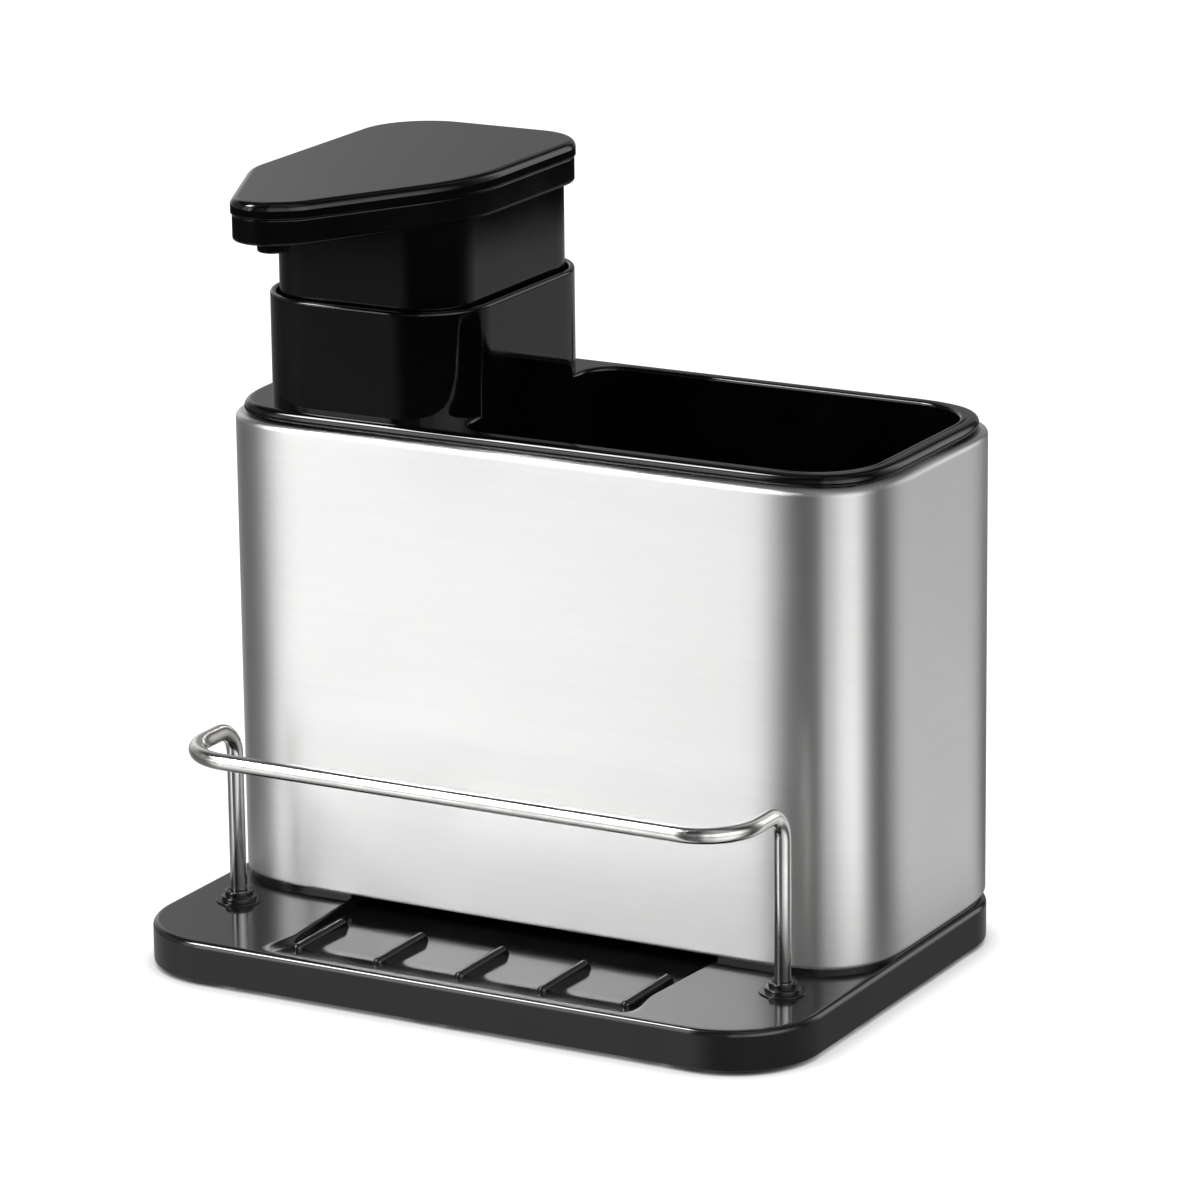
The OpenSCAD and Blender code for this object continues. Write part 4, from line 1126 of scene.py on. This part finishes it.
def wire(points, radius, sides):
    """A round wire along points (x, y, z, bend radius), with softly rounded ends."""
    path = wire_path(points)
    last = len(path) - 1
    side = Vector((1, 0, 0))
    # how far each ring of a rounded end lies from the tip, and how much smaller it is
    ends = [(0, SOFT_R), (WIRE_END_SHARE*SOFT_R, WIRE_END_SHARE*SOFT_R), (SOFT_R, 0)]
    circles = []
    for k, here in enumerate(path):
        ahead = (path[min(k + 1, last)] - path[max(k - 1, 0)]).normalized()
        side = (side - ahead*side.dot(ahead)).normalized()
        up = ahead.cross(side)
        spots = [(here, radius)]
        if k == 0:
            spots = [(here + ahead*back, radius - less) for back, less in ends]
        if k == last:
            spots = [(here - ahead*back, radius - less) for back, less in reversed(ends)]
        circles += [[centre + r*(side*math.cos(math.tau*j/sides) + up*math.sin(math.tau*j/sides))
                     for j in range(sides)] for centre, r in spots]
    return Skin().solid(circles)


def make_rail():
    x = post_x
    low = rail_low.z
    run_y = rail_low.y + WIRE_R
    z = rail_high.z - WIRE_R
    rail = wire([(-x, post_y, low, 0), (-x, post_y, z, POST_BEND_R), (-x, run_y, z, RAIL_BEND_R),
                 (x, run_y, z, RAIL_BEND_R), (x, post_y, z, POST_BEND_R), (x, post_y, low, 0)],
                WIRE_R, WIRE_SIDES)
    dress("sponge_rail_wire", rail, "polished_steel", "root", "polished_steel", "sponge_rail")


def make_grommets():
    low, high = grommet_low.z, grommet_high.z
    flange_r = (grommet_high.y - grommet_low.y)/2
    flange_z = deck_z + GROMMET_FLANGE_T
    bulge_z = (deck_z + high)/2
    bore = WIRE_R + GROMMET_PLAY
    ring = turned(0, 0, [
        (bore, low, FINE_R), (GROMMET_BULGE_R, low, SOFT_R), (GROMMET_BULGE_R, under_z, HAIR_R),
        (GROMMET_WAIST_R, under_z, HAIR_R), (GROMMET_WAIST_R, deck_z, HAIR_R),
        (flange_r, deck_z, GROMMET_FLANGE_R),
        (flange_r - GROMMET_FLANGE_SLANT, flange_z, GROMMET_FLANGE_TOP_R),
        (GROMMET_BULGE_R, flange_z, FINE_R), (GROMMET_BULGE_R, bulge_z, FULL_R),
        (GROMMET_RING_R, bulge_z + GROMMET_RING_RISE, GROMMET_RING_FOOT_R),
        (GROMMET_RING_R, high, EASY_R), (bore, high, SOFT_R)], around=True)
    pair = grown("grommets", COPIES, ring, "black_rubber", Start=(-post_x, post_y, 0), Columns=2,
                 Column_Step=(2*post_x, 0, 0))
    dress("grommets", pair, "black_rubber", "root", "black_rubber", "rail_grommets")


# The insert

rim_top = sleeve_high.z + RIM_H
rim_low = sleeve_high.z + RIM_SEAT
insert_floor_z = insert_low.z + INSERT_FLOOR_T
collar_plan = box_plan((axis_x - COLLAR_W/2, sleeve_low.y + COLLAR_SIDE),
                       (axis_x + COLLAR_W/2, sleeve_high.y - COLLAR_SIDE), COLLAR_R, steps=24)
bin_low = (axis_x + COLLAR_W/2 - BIN_WALL_SINK, sleeve_low.y + BIN_INSET)
bin_high = (sleeve_high.x - BIN_INSET, sleeve_high.y - BIN_INSET)
bin_plan = box_plan(bin_low, bin_high, BIN_R, BIN_R, BIN_LEFT_R, BIN_LEFT_R, steps=24)


def insert_plate():
    """The rim over the sleeve and the brush bin, inside and out."""
    low = insert_low.z
    plate = Skin()
    outer_first, outer_last = plate.loft(rings(sheet_plan, bent([
        (RIM_INSET + RIM_SEAT_W, rim_low), (RIM_INSET, rim_low, RIM_FOOT_R),
        (RIM_INSET, rim_top, RIM_EDGE_R), (RIM_INSET + RIM_TOP_W, rim_top)], steps=12)))
    well_first, well_last = plate.loft(rings(bin_plan, bent([
        (-BIN_WALL, rim_top), (0, rim_top, BIN_EDGE_R), (BIN_DRAFT, insert_floor_z, BIN_FLOOR_R),
        (BIN_FLAT_INSET, insert_floor_z)], steps=8)))
    wall_first, wall_last = plate.loft(rings(bin_plan, bent([
        (BIN_FLAT_INSET, low), (-BIN_WALL, low, BIN_FOOT_R), (-BIN_WALL, rim_low, BROAD_R),
        (-BIN_WALL - PLATE_FLAT_W, rim_low)], steps=6)))
    plate.fill([outer_last, well_first], UP)
    plate.fill([well_last], UP)
    plate.fill([outer_first, wall_last], DOWN)
    plate.fill([wall_first], DOWN)
    return plate


def bottle_collar():
    """The collar round the bottle, solid as yet."""
    low, high = insert_low.z, insert_high.z
    return Skin().solid(rings(collar_plan, bent([
        (COLLAR_FLAT_INSET, low), (0, low, COLLAR_FOOT_R), (0, high, COLLAR_T*EDGE_SHARE),
        (COLLAR_T*COLLAR_TOP_SHARE, high)], steps=8)))


def bottle_pocket():
    """The room inside the collar, with its mouth rounded off to the collar's top."""
    mouth_z = insert_high.z - MOUTH_R
    turns = [math.pi/2*t for t in shares(MOUTH_STEPS)[1:-1]]
    path = bent([(COLLAR_T + BIN_FLAT_INSET, insert_floor_z), (COLLAR_T, insert_floor_z, COLLAR_FOOT_R),
                 (COLLAR_T, mouth_z)])
    path += [(COLLAR_T - MOUTH_R*(1 - math.cos(turn)), mouth_z + MOUTH_R*math.sin(turn)) for turn in turns]
    path.append((COLLAR_T - MOUTH_R, insert_high.z + CUT))
    return Skin().solid(rings(collar_plan, path))


def drain_holes():
    """Cutters for the drain holes in the bin's floor and under the bottle."""
    middle_x = (bin_low[0] + bin_high[0])/2
    columns = int((bin_high[0] - bin_low[0] - 2*BIN_R)/DRAIN_PITCH)
    lines = int((bin_high[1] - bin_low[1] - 2*BIN_LEFT_R)/DRAIN_PITCH)
    spots = [(middle_x + (i - columns/2)*DRAIN_PITCH, sleeve_y + (j - lines/2)*DRAIN_PITCH)
             for i in range(columns + 1) for j in range(lines + 1)]
    spots += [(axis_x + i*DRAIN_PITCH, axis_y + j*DRAIN_PITCH) for i in (-1, 1) for j in (-1, 1)]
    path = [(-DRAIN_R, insert_low.z - CUT), (-DRAIN_R, insert_floor_z + CUT)]
    cutters = Skin()
    for x, y in spots:
        cutters.solid(rings(disc(x, y, DRAIN_SIDES), path))
    return cutters


def make_insert():
    mesh = joined("insert", insert_plate(), plus=[bottle_collar()], minus=[bottle_pocket(), drain_holes()])
    dress("insert", mesh, "insert_black", "insert", "black_gloss", "caddy_insert")


# The bottle and its closure

def threads(root_z):
    """The path up the neck over its thread rings."""
    pitch = (NECK_H - CLOSURE_GAP)/(THREAD_TURNS + 1)
    path = []
    for k in range(1, THREAD_TURNS + 1):
        z = root_z + CLOSURE_GAP/2 + pitch*k
        path += [(NECK_R, z - THREAD_H, THREAD_FOOT_R), (NECK_R + THREAD_H, z - THREAD_H/3, FINE_R),
                 (NECK_R + THREAD_H, z + THREAD_H/3, FINE_R), (NECK_R, z + THREAD_H, THREAD_FOOT_R)]
    return path


def make_bottle():
    low, high = bottle_low.z, bottle_high.z
    top = high - NECK_H
    inner_low, inner_top = low + BOTTLE_T, top - BOTTLE_T
    bore_r = NECK_R - NECK_T
    plan = box_plan(bottle_low, bottle_high, BOTTLE_R, steps=24)
    skin = Skin()
    base, shoulder = skin.loft(rings(plan, bent([
        (BOTTLE_DISH_INSET, low + BOTTLE_DISH), (BOTTLE_RING_W, low, BOTTLE_RING_R),
        (0, low, BOTTLE_FOOT_R), (0, top, BOTTLE_SHOULDER_R), (BOTTLE_FLAT_INSET, top)], steps=10)))
    inner_base, inner_shoulder = skin.loft(rings(plan, bent([
        (BOTTLE_DISH_INSET, inner_low + BOTTLE_DISH), (BOTTLE_RING_W, inner_low, BOTTLE_RING_R),
        (BOTTLE_T, inner_low, BOTTLE_FOOT_INNER_R), (BOTTLE_T, inner_top, BOTTLE_SHOULDER_R - BOTTLE_T),
        (BOTTLE_FLAT_INSET, inner_top)], steps=10)))
    neck = bent([
        (NECK_R + NECK_ROOT_W, top), (NECK_R, top, NECK_ROOT_R), *threads(top), (NECK_R, high, EASY_R),
        (bore_r, high, EASY_R), (bore_r, inner_top, NECK_INNER_ROOT_R),
        (bore_r + NECK_ROOT_W, inner_top)], steps=5)
    foot, mouth = skin.loft(rings(disc(axis_x, axis_y, NECK_SIDES), [(-r, z) for r, z in neck]))
    skin.fill([base], DOWN)
    skin.fill([inner_base], UP)
    skin.fill([shoulder, foot], UP)
    skin.fill([inner_shoulder, mouth], DOWN)
    dress("bottle_shell", skin, "natural_plastic", "bottle", "natural_plastic", "soap_bottle")


grip_root_r = (closure_high.x - closure_low.x)/2 - GRIP_H


def make_closure():
    low, high = closure_low.z, closure_high.z
    inner_r = NECK_R + THREAD_H + CLOSURE_PLAY
    shell = turned(axis_x, axis_y, [
        (inner_r, low, EASY_R), (grip_root_r, low, EASY_R), (grip_root_r, high, CLOSURE_TOP_R),
        (GUIDE_HOLE_R, high, SOFT_R), (GUIDE_HOLE_R, high - CLOSURE_T, SOFT_R),
        (inner_r, high - CLOSURE_T, BROAD_R)], steps=CLOSURE_SIDES, around=True)
    dress("closure_shell", shell, "black_satin", "pump", "black_satin", "screw_closure")


def make_closure_grip():
    """The upright ribs round the closure."""
    half = math.pi*grip_root_r/GRIP_COUNT*GRIP_SHARE
    inner_r = grip_root_r - GRIP_ROOT
    arc = [(inner_r + (GRIP_H + GRIP_ROOT)*math.sin(math.pi*t), half*math.cos(math.pi*t))
           for t in shares(GRIP_STEPS)]
    rib = Skin().solid([[(x, y, z) for x, y in arc]
                        for z in (closure_low.z + GRIP_LOW, closure_high.z - GRIP_HIGH)])
    grip = grown("closure_grip", RING, rib, "black_satin", Centre=(axis_x, axis_y, 0), Count=GRIP_COUNT)
    dress("closure_grip", grip, "black_satin", "pump", "black_satin", "screw_closure")


# The pump head

head_plan = rounded([(axis_x + x*MM, axis_y + y*MM, r*MM) for x, y, r in HEAD_CORNERS], steps=20)
nozzle_x = (nozzle_low.x + nozzle_high.x)/2
nozzle_y = (nozzle_low.y + nozzle_high.y)/2
nozzle_r = (nozzle_high.x - nozzle_low.x)/2
skirt_inset = COVER_PROUD + SKIRT_T
skirt_flat = COVER_PROUD + HEAD_FLAT_INSET


def make_shroud():
    low, high = shroud_low.z, shroud_high.z
    shroud = Skin().solid(rings(box_plan(shroud_low, shroud_high, SHROUD_R, steps=24), bent([
        (SHROUD_FLAT_INSET, high - SHROUD_T), (SHROUD_T, high - SHROUD_T, SHROUD_INNER_R),
        (SHROUD_T, low, FULL_R), (0, low, BROAD_R), (0, high, FINE_R), (SHROUD_FLAT_INSET, high)])))
    dress("shroud", shroud, "insert_black", "pump_head", "black_gloss", "head_shroud")


def make_skirt():
    """The head's skirt, a shallow tray under the cover with a hole for the nozzle."""
    low, high = skirt_low.z, skirt_high.z
    root = low + SKIRT_T
    skirt = Skin().solid(rings(head_plan, bent([
        (skirt_flat, low), (COVER_PROUD, low, SKIRT_FOOT_R), (COVER_PROUD, high, SKIRT_TOP_R),
        (skirt_inset, high, SOFT_R), (skirt_inset, root, SKIRT_ROOT_R), (skirt_flat, root)])))
    hole_r = nozzle_r + NOZZLE_PLAY
    hole = turned(nozzle_x, nozzle_y, [
        (0, low - CUT), (hole_r, low - CUT, HAIR_R), (hole_r, root + CUT, HAIR_R), (0, root + CUT)])
    dress("head_skirt", joined("head_skirt", skirt, minus=[hole]), "black_satin", "pump_head",
          "black_satin", "head_body")


def make_cover():
    """The head's glossy cover, a lid with a rim that drops inside the skirt."""
    seat = skirt_high.z
    top = cover_high.z
    rim_inset = skirt_inset + COVER_T
    cover = Skin().solid(rings(head_plan, bent([
        (COVER_FLAT_INSET, top - COVER_T), (rim_inset, top - COVER_T, FULL_R),
        (rim_inset, cover_low.z, FINE_R), (skirt_inset, cover_low.z, FINE_R), (skirt_inset, seat, HAIR_R),
        (0, seat, COVER_FOOT_R), (0, top, COVER_EDGE_R), (HEAD_FLAT_INSET, top)], steps=8)))
    dress("head_cover_plate", cover, "insert_black", "pump_head", "black_gloss", "head_cover")


def make_nozzle():
    low, high = nozzle_low.z, nozzle_high.z
    tip = turned(nozzle_x, nozzle_y, [
        (NOZZLE_BORE_R, low, SOFT_R), (nozzle_r, low, FULL_R), (nozzle_r, high, HAIR_R),
        (NOZZLE_BORE_R, high, HAIR_R)], around=True)
    dress("nozzle", tip, "black_satin", "pump_head", "black_satin", "nozzle_tip")


# The camera

CAMERA_AZIMUTH = 28.879
CAMERA_ELEVATION = 15.786
CAMERA_ROLL = -0.666
CAMERA_PLACE = (0.67915, -1.21522, 0.48033)
CAMERA_LENS = 183.64
SENSOR = 36.0


def make_camera():
    """The photograph's own camera."""
    azimuth, elevation, roll = map(math.radians, (CAMERA_AZIMUTH, CAMERA_ELEVATION, CAMERA_ROLL))
    ahead = Vector((-math.sin(azimuth)*math.cos(elevation), math.cos(azimuth)*math.cos(elevation),
                    -math.sin(elevation)))
    level = Vector((math.cos(azimuth), math.sin(azimuth), 0))
    upright = level.cross(ahead)
    right = level*math.cos(roll) + upright*math.sin(roll)
    up = upright*math.cos(roll) - level*math.sin(roll)
    camera = linked("camera", bpy.data.cameras.new("camera"))
    camera.data.sensor_fit = "HORIZONTAL"
    camera.data.sensor_width = SENSOR
    camera.data.lens = CAMERA_LENS
    turn = Matrix((right, up, -ahead)).transposed().to_4x4()
    camera.matrix_world = Matrix.Translation(CAMERA_PLACE) @ turn
    bpy.context.scene.camera = camera


# The studio

# What a mirror on the caddy sees round it, as stops: azimuth in degrees, level
CARD_LEVELS = [
    (-180, 0.3), (-150, 0.3), (-136, 0.95), (-120, 0.55), (-100, 0.21), (-70, 0.3), (-62, 0.2), (-54, 0.5),
    (-46, 1.4), (-38, 0.85), (-32, 2.9), (-27, 1.9), (-22, 0.12), (-14, 0.08), (-5, 0.14), (6, 0.23),
    (18, 0.17), (28, 1.3), (37, 1), (46, 1.6), (55, 1.75), (66, 1.95), (77, 2), (86, 1.7), (95, 1),
    (105, 0.47), (116, 0.06), (128, 0.16), (140, 0.5), (152, 1.65), (168, 0.09)]
# Levels that the floor glows with to mirrors, a painted reflection: the far floor, then the near floor
FAR_FLOOR_LEVELS = [
    (-180, 0.3), (-150, 0.3), (-120, 0.16), (-100, 0.1), (-82, 0.1), (-54, 0.2), (-22, 0.19), (-5, 0.04),
    (6, 0.01), (95, 0.01), (116, 0.08), (128, 0.2), (152, 0.4), (168, 0.3)]
NEAR_FLOOR_LEVELS = [
    (-180, 0.28), (-82, 0.3), (-70, 0.33), (-54, 0.42), (-32, 0.47), (-22, 0.43), (-5, 0.22), (6, 0.12),
    (28, 0.12), (46, 0.15), (105, 0.16), (116, 0.19), (152, 0.2), (168, 0.24)]
BRIGHTEST = 4.0         # the level that a ramp's white stands for
WORLD_LEVEL = 0.62
KEY_AZIMUTH = -51
KEY_ELEVATION = 48
KEY_HALF = 9            # half the key light's width and height
KEY_SOFT = 4            # half the width of its soft edge
KEY_LEVEL = 27.0
OVERHEAD_SHARE = 0.22   # level of the cards overhead, as a share of their level below
OVERHEAD_START = 26     # elevations between which the cards fall off to that
OVERHEAD_END = 38
FLOOR_SIZE = 3.0
# reach of the ambient occlusion that paints the tray's shadow into the floor's glow
PAINTED_SHADOW_REACH = 0.012
MIDDLE_SHARE = 0.6      # level of the floor's middle distance, as a share of the cards'
NEAR_FADE = (0.03, 0.09)    # distances over which the near floor gives way to the middle,
FAR_FADE = (0.25, 0.5)      # the middle to the far floor,
END_FADE = (0.74, 0.84)     # and the far floor to the dark beyond
END_LEVEL = 0.02
LAMP_AIM = Vector((0, 0, 0.08))
LAMPS = [("key_lamp", (-0.8, -1.0, 1.3), (0.9, 0.6), 16),       # name, place, size, watts
         ("fill_lamp", (1.1, -0.6, 0.9), (0.8, 0.8), 5)]


def studio_level(graph, share, stops):
    """The level at an azimuth, given as a share of the full circle."""
    ramp_node = graph.add("ShaderNodeValToRGB", {0: share})
    elements = ramp_node.color_ramp.elements
    while len(elements) < len(stops):
        elements.new(0.5)
    for element, (azimuth, level) in zip(elements, stops):
        element.position = (azimuth + 180)/360
        element.color = grey(level/BRIGHTEST)
    return graph.math("MULTIPLY", ramp_node.outputs[0], BRIGHTEST)


def studio_group():
    """What a mirror sees in a direction: the cards, the far floor and the near floor."""
    graph, given, made = group("studio", "ShaderNodeTree", [("Direction", "NodeSocketVector", (0, 0, 0))],
                               [(name, "NodeSocketFloat")
                                for name in ("Cards", "Far", "Near", "Elevation", "Azimuth")])
    x, y, z = graph.add("ShaderNodeSeparateXYZ", {0: given.outputs[0]}).outputs
    azimuth = graph.math("ARCTAN2", x, graph.math("MULTIPLY", y, -1.0))
    share = graph.math("MULTIPLY_ADD", azimuth, 1/math.tau, 0.5)
    for name, stops in (("Cards", CARD_LEVELS), ("Far", FAR_FLOOR_LEVELS), ("Near", NEAR_FLOOR_LEVELS)):
        graph.put(studio_level(graph, share, stops), made.inputs[name])
    flat = graph.math("SQRT", graph.math("ADD", graph.math("MULTIPLY", x, x), graph.math("MULTIPLY", y, y)))
    graph.put(graph.math("ARCTAN2", z, flat), made.inputs["Elevation"])
    graph.put(azimuth, made.inputs["Azimuth"])
    return graph.tree


def key_edge(graph, angle, centre):
    """A mask from 0 to 1: how far inside the key light an azimuth or elevation is."""
    away = graph.math("ABSOLUTE", graph.math("SUBTRACT", angle, math.radians(centre)))
    return graph.smooth(away, math.radians(KEY_HALF + KEY_SOFT), math.radians(KEY_HALF - KEY_SOFT))


def make_world(studio):
    """Soft light all round, white to the camera, with a key light for mirrors."""
    world = bpy.data.worlds.new("studio")
    bpy.context.scene.world = world
    world.use_nodes = True
    graph = Graph(world.node_tree)
    background = world.node_tree.nodes["Background"]
    rays = graph.add("ShaderNodeLightPath").outputs
    place = graph.add("ShaderNodeTexCoord").outputs["Generated"]
    seen = graph.add("ShaderNodeGroup", {0: place}, node_tree=studio).outputs
    key = graph.math("MULTIPLY", key_edge(graph, seen["Azimuth"], KEY_AZIMUTH),
                     key_edge(graph, seen["Elevation"], KEY_ELEVATION))
    high = graph.smooth(seen["Elevation"], math.radians(OVERHEAD_START), math.radians(OVERHEAD_END))
    cards = graph.math("MULTIPLY", seen["Cards"], graph.blend(high, 1.0, OVERHEAD_SHARE))
    mirror = graph.math("MULTIPLY_ADD", key, KEY_LEVEL, cards)
    to_eye = graph.math("MAXIMUM", rays["Is Camera Ray"], rays["Is Transmission Ray"])
    level = graph.blend(rays["Is Glossy Ray"], WORLD_LEVEL, mirror)
    background.inputs["Color"].default_value = grey(1)
    graph.put(graph.blend(to_eye, level, 1.0), background.inputs["Strength"])


def floor_paint(studio):
    """White to the camera by its own glow, with the tray's shadow painted into that glow by ambient
    occlusion over a faint lit diffuse; to mirrors it glows with painted reflection levels of its own.
    """
    made = bpy.data.materials.new("floor_paint")
    made.use_nodes = True
    made.node_tree.nodes.remove(made.node_tree.nodes["Principled BSDF"])
    graph = Graph(made.node_tree)
    rays = graph.add("ShaderNodeLightPath").outputs
    # the way a mirrored ray goes: only glossy rays use it, and what the camera sees doesn't
    incoming = graph.add("ShaderNodeNewGeometry").outputs["Incoming"]
    ahead = graph.add("ShaderNodeVectorMath", {0: incoming, "Scale": -1.0}, operation="SCALE")
    seen = graph.add("ShaderNodeGroup", {0: ahead.outputs[0]}, node_tree=studio).outputs
    matt = graph.add("ShaderNodeBsdfDiffuse", {"Color": grey(0.8)})
    faint = graph.add("ShaderNodeBsdfDiffuse", {"Color": grey(0.25)})
    # painted shadow: the floor's glow dims where ambient occlusion finds the tray close
    painted_shadow_occlusion = graph.add("ShaderNodeAmbientOcclusion", {"Distance": PAINTED_SHADOW_REACH}).outputs["AO"]
    glow_with_painted_shadow = graph.add("ShaderNodeEmission", {"Strength": graph.smooth(painted_shadow_occlusion, 0.1, 0.95)})
    paint = graph.add("ShaderNodeAddShader", {0: faint.outputs[0], 1: glow_with_painted_shadow.outputs[0]})
    to_eye = graph.math("MAXIMUM", rays["Is Camera Ray"], rays["Is Transmission Ray"])
    lit = graph.add("ShaderNodeMixShader", {0: to_eye, 1: matt.outputs[0], 2: paint.outputs[0]})
    # painted reflection: to glossy rays the floor glows with these levels, though it is no lamp
    level = seen["Near"]
    middle = graph.math("MULTIPLY", seen["Cards"], MIDDLE_SHARE)
    for fade, beyond in ((NEAR_FADE, middle), (FAR_FADE, seen["Far"]), (END_FADE, END_LEVEL)):
        level = graph.blend(graph.smooth(rays["Ray Length"], *fade), level, beyond)
    painted_reflection_glow = graph.add("ShaderNodeEmission", {"Strength": level})
    whole = graph.add("ShaderNodeMixShader", {
        0: rays["Is Glossy Ray"], 1: lit.outputs[0], 2: painted_reflection_glow.outputs[0]})
    graph.put(whole.outputs[0], made.node_tree.nodes["Material Output"].inputs["Surface"])
    return made


def make_floor(studio):
    half = FLOOR_SIZE/2
    mesh = bpy.data.meshes.new("floor")
    mesh.from_pydata([(-half, -half, 0), (half, -half, 0), (half, half, 0), (-half, half, 0)], [],
                     [(0, 1, 2, 3)])
    mesh.materials.append(floor_paint(studio))
    linked("floor", mesh)


def make_lamp(name, place, size, watts):
    """A soft rectangular lamp that looks at the caddy."""
    data = bpy.data.lights.new(name, "AREA")
    data.shape = "RECTANGLE"
    data.size, data.size_y = size
    data.energy = watts
    lamp = linked(name, data)
    aim = LAMP_AIM - Vector(place)
    lamp.matrix_world = Matrix.Translation(place) @ aim.to_track_quat("-Z", "Y").to_matrix().to_4x4()
    lamp.visible_glossy = False


make_camera()
dress_solids()
make_tray()
make_ribs()
make_feet()
make_sleeve()
make_weld_seam()
make_rail()
make_grommets()
make_insert()
make_bottle()
make_closure()
make_closure_grip()
make_shroud()
make_skirt()
make_cover()
make_nozzle()
studio = studio_group()
make_world(studio)
make_floor(studio)
for lamp in LAMPS:
    make_lamp(*lamp)
bpy.context.scene.view_settings.view_transform = "Standard"
